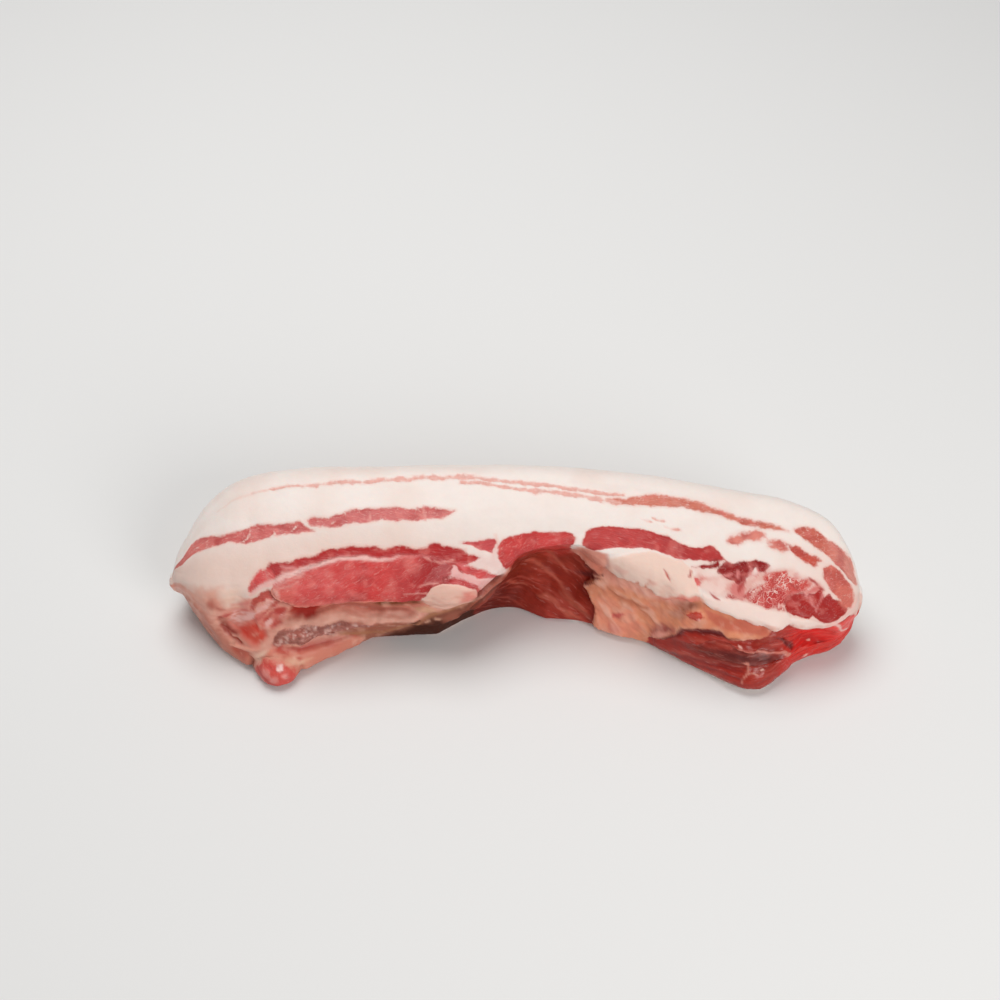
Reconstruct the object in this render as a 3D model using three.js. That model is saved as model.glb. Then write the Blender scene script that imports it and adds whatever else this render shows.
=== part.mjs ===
// Raw pork belly slab: one strip cut across a belly, lying on one of its two cut faces.
// The skin is at the back, the rib side with its flaps, hollow and shank muscle is at the front.
// Millimetres. +X runs along the strip, +Y points to the skin, +Z is up.
// The origin is the middle of the bounding box, on the surface that the slab lies on.

import * as THREE from "three";

// Sampling: the longest step between two rings, and the points along each of a ring's four faces.
const RING_STEP = 2.9;
const FACE_POINTS = [11, 16, 6, 8];

// Slices across the strip: x, then y and z of the slice's four corners.
// The skin edge and the lip bound the upper cut face, the foot and the heel the lower one.
//    x     skin edge     lip         foot        heel
const SLICES = [
  [-129.0, 39.5, 23.5, 34.0, 21.0, 39.0, 12.0, 43.0, 10.0],
  [-126.0, 49.0, 31.5, 31.5, 24.0, 41.0, 5.0, 54.0, 3.0],
  [-117.0, 63.5, 40.5, 26.0, 26.5, 29.0, 0.0, 68.0, 0.0],
  [-104.0, 70.5, 46.5, 21.5, 28.5, 13.5, 0.0, 75.0, 0.0],
  [-85.0, 73.5, 49.0, 19.5, 30.0, 13.0, 0.0, 78.0, 0.0],
  [-60.0, 74.0, 50.0, 20.0, 30.5, 23.0, 0.0, 79.5, 0.0],
  [-30.0, 74.5, 50.5, 21.5, 29.5, 26.0, 0.0, 80.0, 0.0],
  [5.0, 74.0, 50.5, 23.0, 31.0, 28.0, 0.0, 79.5, 0.0],
  [38.0, 71.0, 50.0, 25.0, 35.0, 25.0, 0.0, 77.0, 0.0],
  [66.0, 67.0, 49.0, 19.0, 32.5, 10.0, 0.0, 73.0, 0.0],
  [88.0, 62.5, 47.0, 13.0, 27.5, 0.5, 0.0, 68.0, 0.0],
  [105.0, 59.5, 45.0, 12.0, 24.0, 13.5, 0.0, 63.0, 0.0],
  [118.0, 53.5, 41.0, 14.8, 21.5, 17.5, 0.0, 56.5, 0.0],
  [125.0, 43.0, 34.0, 21.0, 20.5, 23.0, 2.5, 46.0, 3.5],
  [127.8, 32.0, 25.0, 27.0, 19.0, 27.5, 9.0, 34.0, 10.0],
];
const CORNERS = 4;

// Rounding of the corners: how far from the corner it starts, and its share of a face's girth.
const CORNER_CUT = [11.0, 5.0, 6.0, 7.0];
const CORNER_SHARE = [0.16, 0.12, 0.12, 0.14];
// A corner's rounding never takes more than this share of the faces beside it.
const CUT_LIMIT = 0.45;

// Bulge of the upper cut face, rib side, lower cut face and skin, on a slice of full width.
const CAMBER = [3.0, 0.0, 0.0, 2.5];
const FULL_WIDTH = 50.0;

// Girth: 0 to 1 runs over the upper cut face from skin edge to lip, 1 to 2 down the rib side,
// 2 to 3 under the slab and 3 to 4 up the skin.

// Hollow in the middle of the rib side, where ribs were lifted out:
// its share along x, and by girth how far the surface goes back and up there.
const HOLLOW_SHARE = [
  [-34, 0],
  [-16, 0.07],
  [-7, 0.36],
  [3, 0.86],
  [13, 1],
  [21, 0.93],
  [30, 0.64],
  [41, 0.34],
  [62, 0],
];
const HOLLOW_BACK = [
  [0.45, 0],
  [0.75, 4.5],
  [1, 14],
  [1.3, 21],
  [1.6, 17],
  [2, 5.5],
  [2.7, 0],
];
const HOLLOW_UP = [
  [0.45, 0],
  [0.75, 2.2],
  [1, 6],
  [1.15, 5.5],
  [1.6, 0],
  [2.6, 0],
];

// Lobes and dents. at: x and girth of the middle; half: half sizes along x and girth;
// move: y and z at the middle. A power below 1 is a lobe with a crease round it, above 1 a soft swell.
const HUMPS = [
  { name: "foot knob", at: [-89.3, 1.98], half: [10, 0.46], move: [-5.8, 1.2], power: 0.62 },
  { name: "knob neck", at: [-90, 1.85], half: [17, 0.75], move: [-4.6, 0], power: 1.6 },
  { name: "lower lip", at: [-74, 1.92], half: [20, 0.3], move: [-4.5, 0], power: 1 },
  { name: "end rim", at: [-114, 1.3], half: [12, 0.8], move: [-3, 0], power: 1.5 },
  { name: "end dent", at: [-104, 1.35], half: [9, 0.5], move: [2.5, 0], power: 1.4 },
  { name: "under flap", at: [-62, 1.25], half: [36, 0.24], move: [3, 0], power: 1.2 },
  { name: "fat lump", at: [-23.5, 1], half: [12, 0.24], move: [-2.8, 1.8], power: 0.8 },
  { name: "hollow's foot", at: [-9, 2], half: [21, 0.8], move: [9, 0], power: 1.4 },
  { name: "shank", at: [86, 1.9], half: [30, 0.5], move: [-3.5, 1], power: 1.5 },
  { name: "shank dent", at: [109, 1.3], half: [11, 0.34], move: [3.5, 0], power: 1.5 },
  { name: "fat crown", at: [-20, 0.35], half: [110, 0.36], move: [0, 1.5], power: 1.5 },
];

// Overhanging edges of flaps and fat sheets. edge: x and girth along it; the surface swells
// to the height over the girth above the edge and falls back just below it.
const LEDGES = [
  {
    name: "lean flap",
    edge: [[-93, 0.9], [-88, 0.96], [-83, 1.02], [-76, 1.04], [-60, 1.04], [-36, 1.02], [-30, 1]],
    height: 2.6,
    above: 0.5,
  },
  {
    name: "fat sheet",
    edge: [[24, 1.16], [37, 1.2], [50, 1.14], [56, 1.06], [68, 1]],
    height: 2.5,
    above: 0.4,
  },
  {
    name: "fat shelf",
    edge: [[64, 1], [80, 1.02], [100, 1]],
    height: 3,
    above: 0.3,
  },
  {
    name: "membrane fold",
    edge: [[-87, 1.62], [-74, 1.58], [-60, 1.56], [-30, 1.6], [-12, 1.4], [-2, 1.2]],
    height: 2.5,
    above: 0.3,
  },
  {
    name: "fat cover",
    edge: [[44, 1.95], [56, 1.72], [66, 1.56], [76, 1.42], [84, 1.46], [92, 1.25], [100, 1.1]],
    height: 2.2,
    above: 0.3,
  },
  {
    name: "upper shank",
    edge: [[60, 1.8], [68, 1.66], [80, 1.62], [96, 1.6], [106, 1.62]],
    height: 2.5,
    above: 0.22,
  },
];
const LEDGE_DROP = 0.1;
// A ledge fades out over this length at both its ends, and swells mostly forwards.
const LEDGE_FADE = 8.0;
const LEDGE_FORWARD = 0.9;
const LEDGE_DOWN = 0.15;

const { clamp, smoothstep } = THREE.MathUtils;

// A smooth function through [place, value] pairs that never overshoots them (monotone cubic).
function smoothCurve(pairs) {
  const last = pairs.length - 1;
  const run = pairs.slice(1).map((p, i) => p[0] - pairs[i][0]);
  const slope = run.map((h, i) => (pairs[i + 1][1] - pairs[i][1]) / h);
  const tangent = pairs.map((_, i) => {
    if (i === 0) return slope[0];
    if (i === last) return slope[last - 1];
    const product = slope[i - 1] * slope[i];
    return product > 0 ? (2 * product) / (slope[i - 1] + slope[i]) : 0;
  });
  return (place) => {
    const x = clamp(place, pairs[0][0], pairs[last][0]);
    let i = 0;
    while (i < last - 1 && x > pairs[i + 1][0]) i += 1;
    const g = (x - pairs[i][0]) / run[i];
    return (
      (1 + 2 * g) * (1 - g) ** 2 * pairs[i][1] +
      g * (1 - g) ** 2 * run[i] * tangent[i] +
      g * g * (3 - 2 * g) * pairs[i + 1][1] +
      g * g * (g - 1) * run[i] * tangent[i + 1]
    );
  };
}

// The four corner lines along the strip, each a smooth curve through its corner of every slice.
const cornerLines = Array.from({ length: CORNERS }, (_, corner) => {
  const points = SLICES.map((s) => new THREE.Vector3(s[0], s[1 + 2 * corner], s[2 + 2 * corner]));
  return new THREE.CatmullRomCurve3(points, false, "catmullrom", 0.5);
});

// Where the rings stand, as shares of the corner lines: close together where the corners move fast.
function ringPlaces() {
  const gaps = SLICES.length - 1;
  const places = [];
  for (let gap = 0; gap < gaps; gap += 1) {
    const moves = cornerLines.map((line) => line.points[gap].distanceTo(line.points[gap + 1]));
    const steps = Math.ceil(Math.max(...moves) / RING_STEP);
    for (let step = 0; step < steps; step += 1) places.push((gap + step / steps) / gaps);
  }
  places.push(1);
  return places;
}

// A point between a and b on the rounding of a corner: a quadratic curve pulled to the corner.
function rounding(a, corner, b, share) {
  const start = a.clone().multiplyScalar((1 - share) ** 2);
  return start.addScaledVector(corner, 2 * share * (1 - share)).addScaledVector(b, share ** 2);
}

// The point of a slice at a girth: straight faces between rounded corners, with camber.
function slicePoint(corners, girth) {
  const face = Math.min(Math.floor(girth), CORNERS - 1);
  const share = girth - face;
  const at = (i) => (i + CORNERS) % CORNERS;
  const [before, from, to, after] = [-1, 0, 1, 2].map((i) => corners[at(face + i)]);
  const towards = (a, b) => b.clone().sub(a).normalize();
  const cut = (i, a, corner, b) =>
    Math.min(CORNER_CUT[at(i)], CUT_LIMIT * Math.min(a.distanceTo(corner), corner.distanceTo(b)));
  const cutFrom = cut(face, before, from, to);
  const cutTo = cut(face + 1, from, to, after);
  const along = towards(from, to);
  const first = from.clone().addScaledVector(along, cutFrom);
  const second = to.clone().addScaledVector(along, -cutTo);
  const [shareFrom, shareTo] = [CORNER_SHARE[face], CORNER_SHARE[at(face + 1)]];
  let point;
  if (share < shareFrom) {
    const start = from.clone().addScaledVector(towards(before, from), -cutFrom);
    point = rounding(start, from, first, 0.5 + (0.5 * share) / shareFrom);
  } else if (share > 1 - shareTo) {
    const end = to.clone().addScaledVector(towards(to, after), cutTo);
    point = rounding(second, to, end, (0.5 * (share - 1 + shareTo)) / shareTo);
  } else {
    point = first.clone().lerp(second, (share - shareFrom) / (1 - shareFrom - shareTo));
  }
  const outwards = new THREE.Vector2(along.y, -along.x);
  const width = Math.min(1, from.distanceTo(to) / FULL_WIDTH);
  return point.addScaledVector(outwards, CAMBER[face] * width * Math.sin(Math.PI * share));
}

const hollowShare = smoothCurve(HOLLOW_SHARE);
const hollowBack = smoothCurve(HOLLOW_BACK);
const hollowUp = smoothCurve(HOLLOW_UP);
const ledges = LEDGES.map((ledge) => ({
  ...ledge,
  girthAt: smoothCurve(ledge.edge),
  from: ledge.edge[0][0],
  to: ledge.edge[ledge.edge.length - 1][0],
}));

// How far the hollow, the lobes and the ledges move the surface, in y and z.
function relief(x, girth) {
  const share = hollowShare(x);
  const move = new THREE.Vector2(share * hollowBack(girth), share * hollowUp(girth));
  for (const { at, half, move: [dy, dz], power } of HUMPS) {
    const off = ((x - at[0]) / half[0]) ** 2 + ((girth - at[1]) / half[1]) ** 2;
    const weight = Math.max(0, 1 - off) ** power;
    move.x += weight * dy;
    move.y += weight * dz;
  }
  for (const { from, to, girthAt, height, above } of ledges) {
    const edge = girthAt(x);
    const ends = smoothstep(x, from, from + LEDGE_FADE) * (1 - smoothstep(x, to - LEDGE_FADE, to));
    const rise = smoothstep(girth, edge - above, edge);
    const swell = rise * (1 - smoothstep(girth, edge, edge + LEDGE_DROP));
    move.x -= ends * swell * height * LEDGE_FORWARD;
    move.y -= ends * swell * height * LEDGE_DOWN;
  }
  return move;
}

// The girths at which each ring is sampled: even steps along each face.
function ringGirths() {
  return FACE_POINTS.flatMap((count, face) =>
    Array.from({ length: count }, (_, i) => face + i / count),
  );
}

// One ring of points round the strip, never below the table.
function ring(place, girths) {
  const corners = cornerLines.map((line) => {
    const p = line.getPoint(place);
    return new THREE.Vector2(p.y, p.z);
  });
  const x = cornerLines[0].getPoint(place).x;
  return girths.map((girth) => {
    const p = slicePoint(corners, girth).add(relief(x, girth));
    return new THREE.Vector3(x, p.x, Math.max(0, p.y));
  });
}

// Skin of triangles over the rings, with a fan to the middle of the first and the last ring.
function slabGeometry() {
  const girths = ringGirths();
  const rings = ringPlaces().map((place) => ring(place, girths));
  const round = girths.length;
  const points = rings.flat();
  const faces = [];
  for (let r = 0; r < rings.length - 1; r += 1) {
    for (let g = 0; g < round; g += 1) {
      const next = (g + 1) % round;
      const [a, b] = [r * round + g, r * round + next];
      const [c, d] = [a + round, b + round];
      faces.push(a, b, c, b, d, c);
    }
  }
  const middle = (list) =>
    list.reduce((sum, p) => sum.add(p), new THREE.Vector3()).divideScalar(list.length);
  const ends = [rings[0], rings[rings.length - 1]];
  points.push(...ends.map(middle));
  const [left, right] = [points.length - 2, points.length - 1];
  const lastRing = (rings.length - 1) * round;
  for (let g = 0; g < round; g += 1) {
    const next = (g + 1) % round;
    faces.push(left, next, g);
    faces.push(right, lastRing + g, lastRing + next);
  }
  const geometry = new THREE.BufferGeometry().setFromPoints(points).setIndex(faces);
  geometry.computeBoundingBox();
  const { min, max } = geometry.boundingBox;
  geometry.translate(-(min.x + max.x) / 2, -(min.y + max.y) / 2, -min.z);
  geometry.computeVertexNormals();
  return geometry;
}

const rawPork = new THREE.MeshStandardMaterial({ color: 0xe0aca4, roughness: 0.42, metalness: 0 });
const slab = new THREE.Mesh(slabGeometry(), rawPork);
slab.name = "pork_belly_slab";

const porkBelly = new THREE.Group();
porkBelly.name = "pork_belly";
porkBelly.add(slab);

export default porkBelly;
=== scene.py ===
"""A raw strip of pork belly, lying on one cut face with its skin at the back."""

import bpy
import numpy as np
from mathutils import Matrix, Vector


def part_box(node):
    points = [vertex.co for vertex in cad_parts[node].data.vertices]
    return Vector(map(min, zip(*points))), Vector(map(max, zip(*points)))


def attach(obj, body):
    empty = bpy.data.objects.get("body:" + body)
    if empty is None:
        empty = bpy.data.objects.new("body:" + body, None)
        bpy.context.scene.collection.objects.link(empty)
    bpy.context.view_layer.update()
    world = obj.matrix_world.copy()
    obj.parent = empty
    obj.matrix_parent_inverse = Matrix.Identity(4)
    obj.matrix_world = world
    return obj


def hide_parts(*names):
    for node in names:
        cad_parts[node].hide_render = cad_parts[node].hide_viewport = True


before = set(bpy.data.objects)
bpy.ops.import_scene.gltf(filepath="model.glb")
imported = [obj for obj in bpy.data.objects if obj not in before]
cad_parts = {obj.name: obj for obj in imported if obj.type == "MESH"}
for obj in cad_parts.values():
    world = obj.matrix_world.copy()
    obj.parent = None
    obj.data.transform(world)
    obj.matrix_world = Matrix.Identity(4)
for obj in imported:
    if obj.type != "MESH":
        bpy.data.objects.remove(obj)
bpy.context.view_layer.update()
MM = 0.001

# ------------------------------------------------------------------------------------------
# Camera
# A 60 mm lens 650 mm away looks down on the strip's front and upper face at 45 degrees.
# ------------------------------------------------------------------------------------------

AIM = Vector((-5.4, 35.87, 25.0)) * MM
LOOK = Vector((0, 1, -1)).normalized()
DISTANCE = 650 * MM

camera_data = bpy.data.cameras.new("camera")
camera_data.lens = 60
camera_data.sensor_width = 36
camera = bpy.data.objects.new("camera", camera_data)
camera.location = AIM - LOOK * DISTANCE
camera.rotation_euler = LOOK.to_track_quat("-Z", "Y").to_euler()
bpy.context.scene.collection.objects.link(camera)
bpy.context.scene.camera = camera

# ------------------------------------------------------------------------------------------
# Light
# A broad soft box above and a little behind lights the upper face most, a weaker one in front
# fills the rib side, and a pale room lights the rest.
# ------------------------------------------------------------------------------------------

LAMPS = {
    "soft box": ((-0.15, 0.35, 1.0), 0.9, 7.4, (1.0, 0.99, 0.97)),
    "front fill": ((0.5, -0.75, 0.5), 0.6, 4.8, (1.0, 0.98, 0.95)),
}
ROOM_LIGHT = 0.28

for name, (place, side, power, tint) in LAMPS.items():
    lamp_data = bpy.data.lights.new(name, "AREA")
    lamp_data.shape = "DISK"
    lamp_data.size = side
    lamp_data.energy = power
    lamp_data.color = tint
    lamp = bpy.data.objects.new(name, lamp_data)
    lamp.location = place
    lamp.rotation_euler = (AIM - Vector(place)).to_track_quat("-Z", "Y").to_euler()
    bpy.context.scene.collection.objects.link(lamp)

room = bpy.data.worlds.new("room")
room.use_nodes = True
room.node_tree.nodes["Background"].inputs["Color"].default_value = (1, 1, 1, 1)
room.node_tree.nodes["Background"].inputs["Strength"].default_value = ROOM_LIGHT
bpy.context.scene.world = room
bpy.context.scene.view_settings.view_transform = "Standard"

# ------------------------------------------------------------------------------------------
# Table
# A plain matt white board under the strip.
# ------------------------------------------------------------------------------------------

TABLE_HALF = 3.0

table_mesh = bpy.data.meshes.new("table")
corners = [(-TABLE_HALF, -TABLE_HALF, 0), (TABLE_HALF, -TABLE_HALF, 0),
           (TABLE_HALF, TABLE_HALF, 0), (-TABLE_HALF, TABLE_HALF, 0)]
table_mesh.from_pydata(corners, [], [(0, 1, 2, 3)])
table = bpy.data.objects.new("table", table_mesh)
bpy.context.scene.collection.objects.link(table)
board = bpy.data.materials.new("white board")
board.use_nodes = True
board_shader = board.node_tree.nodes["Principled BSDF"]
board_shader.inputs["Base Color"].default_value = (0.8, 0.8, 0.8, 1)
board_shader.inputs["Roughness"].default_value = 0.8
table_mesh.materials.append(board)

# ------------------------------------------------------------------------------------------
# Form of the strip
# A strip cut straight down through skin, fat and lean, laid on one cut face. The soft meat
# rounds off at its edges, thin flaps hang over the rib side, and a hollow is left where the
# ribs were lifted out. Lengths here are in millimetres.
# ------------------------------------------------------------------------------------------

# Slices across the strip: x, then y and z of the skin edge, the lip, the foot and the heel.
SLICES = np.array([
    [-129.0, 39.5, 23.5, 34.0, 21.0, 39.0, 12.0, 43.0, 10.0],
    [-126.0, 49.0, 31.5, 31.5, 24.0, 41.0, 5.0, 54.0, 3.0],
    [-117.0, 63.5, 40.5, 26.0, 26.5, 29.0, 0.0, 68.0, 0.0],
    [-104.0, 70.5, 46.5, 21.5, 28.5, 13.5, 0.0, 75.0, 0.0],
    [-85.0, 73.5, 49.0, 19.5, 30.0, 13.0, 0.0, 78.0, 0.0],
    [-60.0, 74.0, 50.0, 20.0, 30.5, 23.0, 0.0, 79.5, 0.0],
    [-30.0, 74.5, 50.5, 21.5, 29.5, 26.0, 0.0, 80.0, 0.0],
    [5.0, 74.0, 50.5, 23.0, 31.0, 28.0, 0.0, 79.5, 0.0],
    [38.0, 71.0, 50.0, 25.0, 35.0, 25.0, 0.0, 77.0, 0.0],
    [66.0, 67.0, 49.0, 19.0, 32.5, 10.0, 0.0, 73.0, 0.0],
    [88.0, 62.5, 47.0, 13.0, 27.5, 0.5, 0.0, 68.0, 0.0],
    [105.0, 59.5, 45.0, 12.0, 24.0, 13.5, 0.0, 63.0, 0.0],
    [118.0, 53.5, 41.0, 14.8, 21.5, 17.5, 0.0, 56.5, 0.0],
    [125.0, 43.0, 34.0, 21.0, 20.5, 23.0, 2.5, 46.0, 3.5],
    [127.8, 32.0, 25.0, 27.0, 19.0, 27.5, 9.0, 34.0, 10.0],
])
CORNER_CUT = (11.0, 5.0, 6.0, 7.0)
CORNER_SHARE = (0.16, 0.12, 0.12, 0.14)
CUT_LIMIT = 0.45
CAMBER = (3.0, 0.0, 0.0, 2.5)
FULL_WIDTH = 50.0

# Girth q runs from 0 to 4: across the upper cut face from the skin edge to the lip, down the
# rib side to the foot, under the strip to the heel, and up the skin.
FACE_POINTS = (88, 74, 22, 32)
RINGS = 440
CAP_RINGS = 8
CAP_BULGE = 1.4

# The hollow: its share along x, and how far it goes back and up along the girth.
HOLLOW_SHARE = [(-34, 0), (-16, 0.07), (-7, 0.36), (3, 0.86), (13, 1), (21, 0.93), (30, 0.64),
                (41, 0.34), (62, 0)]
HOLLOW_BACK = [(0.45, 0), (0.75, 4.5), (1, 14), (1.3, 21), (1.6, 17), (2, 5.5), (2.7, 0)]
HOLLOW_UP = [(0.45, 0), (0.75, 2.2), (1, 6), (1.15, 5.5), (1.6, 0), (2.6, 0)]

# Lobes and dents: x, girth, half sizes along both, moves in y and z, power.
LOBES = {
    "foot knob": (-89.3, 2.05, 9.3, 0.28, -5.8, 0.6, 0.62),
    "knob neck": (-88, 1.9, 17, 0.65, -4.4, 0, 1.6),
    "lower lip": (-74, 1.92, 20, 0.3, -4.5, 0, 1),
    "end rim": (-114, 1.3, 12, 0.8, -3, 0, 1.5),
    "end dent": (-104, 1.35, 9, 0.5, 2.5, 0, 1.4),
    "under flap": (-62, 1.25, 36, 0.24, 3, 0, 1.2),
    "fat lump": (-23.5, 1, 12, 0.24, -2.8, 1.8, 0.8),
    "hollow's foot": (-9, 2, 21, 0.8, 9, 0, 1.4),
    "shank": (86, 1.9, 30, 0.5, -3.5, 1, 1.5),
    "shank dent": (109, 1.3, 11, 0.34, 3.5, 0, 1.5),
    "fat crown": (-20, 0.35, 110, 0.36, 0, 1.5, 1.5),
}

# Overhanging edges: x and girth along the edge, height, the girth over which it swells, and how
# ragged it is.
LEDGES = {
    "lean flap": ([(-93, 0.9), (-88, 0.95), (-83, 0.99), (-76, 1.03), (-60, 1.04), (-36, 1.02),
                   (-30, 1)], 2.3, 0.5, 0.3),
    "fat sheet": ([(24, 1.16), (31, 1.17), (37, 1.22), (42.4, 1.14), (46, 1.13), (50, 1.13),
                   (52, 1.18), (56.7, 1.08), (60, 1.03), (68, 1)], 2.5, 0.4, 0.8),
    "fat shelf": ([(64, 1), (80, 1.02), (100, 1)], 3, 0.3, 0.3),
    "membrane fold": ([(-87, 1.62), (-74, 1.58), (-60, 1.56), (-30, 1.6), (-12, 1.4), (-2, 1.2)],
                      2.5, 0.3, 0.5),
    "fat cover": ([(44, 1.95), (56, 1.72), (66, 1.56), (76, 1.42), (84, 1.46), (92, 1.25),
                   (100, 1.1)], 2.0, 0.3, 0.5),
    "upper shank": ([(60, 1.8), (68, 1.66), (80, 1.62), (96, 1.6), (106, 1.62)], 2.1, 0.26, 0.1),
}
LEDGE_DROP = 0.05
LEDGE_FADE = 8.0
LEDGE_FORWARD = 0.9
LEDGE_DOWN = 0.15
RAG = 0.05


def smooth(low, high, value):
    """Cubic step 3t^2 - 2t^3 from 0 at low to 1 at high."""
    t = np.clip((value - low) / (high - low), 0, 1)
    return t * t * (3 - 2 * t)


def curve(pairs, place):
    """Cubic pieces through the pairs. The slope at a pair is the harmonic mean of the slopes
    beside it, so the curve never overshoots."""
    px, py = np.array(pairs, float).T
    slope = np.diff(py) / np.diff(px)
    product = slope[:-1] * slope[1:]
    inner = np.where(product > 0, 2 * product / np.where(product > 0, slope[:-1] + slope[1:], 1), 0)
    tangent = np.concatenate([slope[:1], inner, slope[-1:]])
    place = np.clip(place, px[0], px[-1])
    i = np.clip(np.searchsorted(px, place) - 1, 0, len(slope) - 1)
    run = np.diff(px)[i]
    t = (place - px[i]) / run
    return ((1 + 2 * t) * (1 - t) ** 2 * py[i] + t * (1 - t) ** 2 * run * tangent[i]
            + t * t * (3 - 2 * t) * py[i + 1] + t * t * (t - 1) * run * tangent[i + 1])


def spline(rows, place):
    """Catmull-Rom curve through the rows, with the rows mirrored past both ends."""
    padded = np.vstack([2 * rows[0] - rows[1], rows, 2 * rows[-1] - rows[-2]])
    i = np.clip(place.astype(int), 0, len(rows) - 2)
    t = (place - i)[:, None]
    a, b, c, d = (padded[i + k] for k in range(4))
    return 0.5 * (2 * b + (c - a) * t + (2 * a - 5 * b + 4 * c - d) * t**2
                  + (3 * b - a - 3 * c + d) * t**3)


def length_of(vector):
    return np.linalg.norm(vector, axis=-1, keepdims=True)


def bend(start, corner, end, t):
    """Quadratic curve from start to end, pulled to the corner."""
    return (1 - t) ** 2 * start + 2 * t * (1 - t) * corner + t * t * end


def outlines(corners, girth):
    """Outline of every slice: straight faces, half a quadratic curve at each end of a face, and
    a sine bulge outwards over the whole face."""
    points = np.empty((len(corners), len(girth), 2))
    for face in range(4):
        before, a, b, after = (corners[:, (face + k) % 4][:, None] for k in (-1, 0, 1, 2))
        width = length_of(b - a)
        cut_a = np.minimum(CORNER_CUT[face], CUT_LIMIT * np.minimum(width, length_of(a - before)))
        cut_b = np.minimum(CORNER_CUT[(face + 1) % 4],
                           CUT_LIMIT * np.minimum(width, length_of(after - b)))
        share_a, share_b = CORNER_SHARE[face], CORNER_SHARE[(face + 1) % 4]
        along = (b - a) / width
        first, last = a + along * cut_a, b - along * cut_b
        come = a - (a - before) / length_of(a - before) * cut_a
        leave = b + (after - b) / length_of(after - b) * cut_b
        here = np.minimum(girth.astype(int), 3) == face
        t = (girth[here] - face)[None, :, None]
        start = bend(come, a, first, 0.5 + 0.5 * t / share_a)
        middle = first + (last - first) * (t - share_a) / (1 - share_a - share_b)
        end = bend(last, b, leave, 0.5 * (t - 1 + share_b) / share_b)
        line = np.where(t < share_a, start, np.where(t > 1 - share_b, end, middle))
        outwards = np.concatenate([along[..., 1:], -along[..., :1]], axis=-1)
        points[:, here] = line + (outwards * CAMBER[face] * np.minimum(1, width / FULL_WIDTH)
                                  * np.sin(np.pi * t))
    return points


def noise(points, size, seed, octaves=1):
    """Smooth noise from -1 to 1: random values at the corners of cells of the given size, blended
    across each cell by 3t^2 - 2t^3. Each further octave halves the size and the weight."""
    cells = np.asarray(points, float) / size
    total, weight = 0.0, 1.0
    for octave in range(octaves):
        base = np.floor(cells)
        t = cells - base
        t = t * t * (3 - 2 * t)
        base = base.astype(np.int64).astype(np.uint32)
        for corner in np.ndindex(*(2,) * cells.shape[-1]):
            h = np.full(cells.shape[:-1], seed * 7919 + octave * 104729, np.uint32)
            share = weight
            for axis, step in enumerate(corner):
                h = (h ^ (base[..., axis] + np.uint32(step))) * np.uint32(2654435761)
                h = h ^ (h >> np.uint32(15))
                share = share * (t[..., axis] if step else 1 - t[..., axis])
            h = h * np.uint32(2246822519)
            h = h ^ (h >> np.uint32(13))
            total = total + share * (h / 2147483648.0 - 1)
        cells, weight = cells * 2.03 + 17.7, weight / 2
    return total


girth = np.concatenate([face + np.arange(n) / n for face, n in enumerate(FACE_POINTS)])
dense = np.linspace(0, len(SLICES) - 1, 4000)
fine_slices = spline(SLICES, dense)
corner_moves = np.linalg.norm(np.diff(fine_slices[:, 1:].reshape(-1, 4, 2), axis=0), axis=2)
travel = np.cumsum(np.hypot(corner_moves.max(axis=1), np.diff(fine_slices[:, 0])))
place = np.interp(np.linspace(0, travel[-1], RINGS), np.concatenate([[0], travel]), dense)
slices = spline(SLICES, place)

x = np.repeat(slices[:, :1], len(girth), axis=1)
q = np.repeat(girth[None], RINGS, axis=0)
y, z = np.moveaxis(outlines(slices[:, 1:].reshape(-1, 4, 2), girth), 2, 0)
rag = noise(np.stack([x, 0 * x], axis=-1), 3.2, 5, 3)

share = curve(HOLLOW_SHARE, x)
y = y + share * curve(HOLLOW_BACK, q)
z = z + share * curve(HOLLOW_UP, q)
for cx, cq, half_x, half_q, dy, dz, power in LOBES.values():
    weight = np.clip(1 - ((x - cx) / half_x) ** 2 - ((q - cq) / half_q) ** 2, 0, 1) ** power
    y = y + weight * dy
    z = z + weight * dz
for edge, height, above, raggedness in LEDGES.values():
    rim = curve(edge, x) + RAG * raggedness * rag
    low, high = edge[0][0], edge[-1][0]
    ends = smooth(low, low + LEDGE_FADE, x) * (1 - smooth(high - LEDGE_FADE, high, x))
    swell = ends * smooth(rim - above, rim, q) * (1 - smooth(rim, rim + LEDGE_DROP, q))
    y = y - swell * height * LEDGE_FORWARD
    z = z - swell * height * LEDGE_DOWN
z = np.maximum(z, 0)

# The form is centred in its box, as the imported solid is.
cad_low, cad_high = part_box("pork_belly_slab")
centre_x = (cad_low.x + cad_high.x) / 2 / MM - (x.min() + x.max()) / 2
centre_y = (cad_low.y + cad_high.y) / 2 / MM - (y.min() + y.max()) / 2
form = np.stack([x + centre_x, y + centre_y, z], axis=-1)

# Both ends close with rings that shrink to a pole over a shallow bulge.
turn = np.arange(1, CAP_RINGS + 1) / CAP_RINGS * np.pi / 2 * 0.97


def cap(ring, side):
    """Rings of the shape centre + (ring - centre) * cos(turn), moved out by the bulge * sin."""
    centre = ring.mean(axis=0)
    rings = centre + (ring - centre) * np.cos(turn)[:, None, None]
    rings[..., 0] += side * CAP_BULGE * np.sin(turn)[:, None]
    return rings


left_cap, right_cap = cap(form[0], -1), cap(form[-1], 1)
form = np.concatenate([left_cap[::-1], form, right_cap])
rows, columns = form.shape[:2]
q = np.repeat(girth[None], rows, axis=0)
x = form[..., 0] - centre_x
y, z = form[..., 1] - centre_y, form[..., 2]

# ------------------------------------------------------------------------------------------
# Layers of the cut face
# Back fat with thin streaks of lean lies under the skin, and two sheets of lean lie towards the
# ribs, split by seams of fat. The same layers show on the lower cut face, which mirrors the
# girth. Outlines are lists of x in millimetres and girth.
# ------------------------------------------------------------------------------------------

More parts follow.
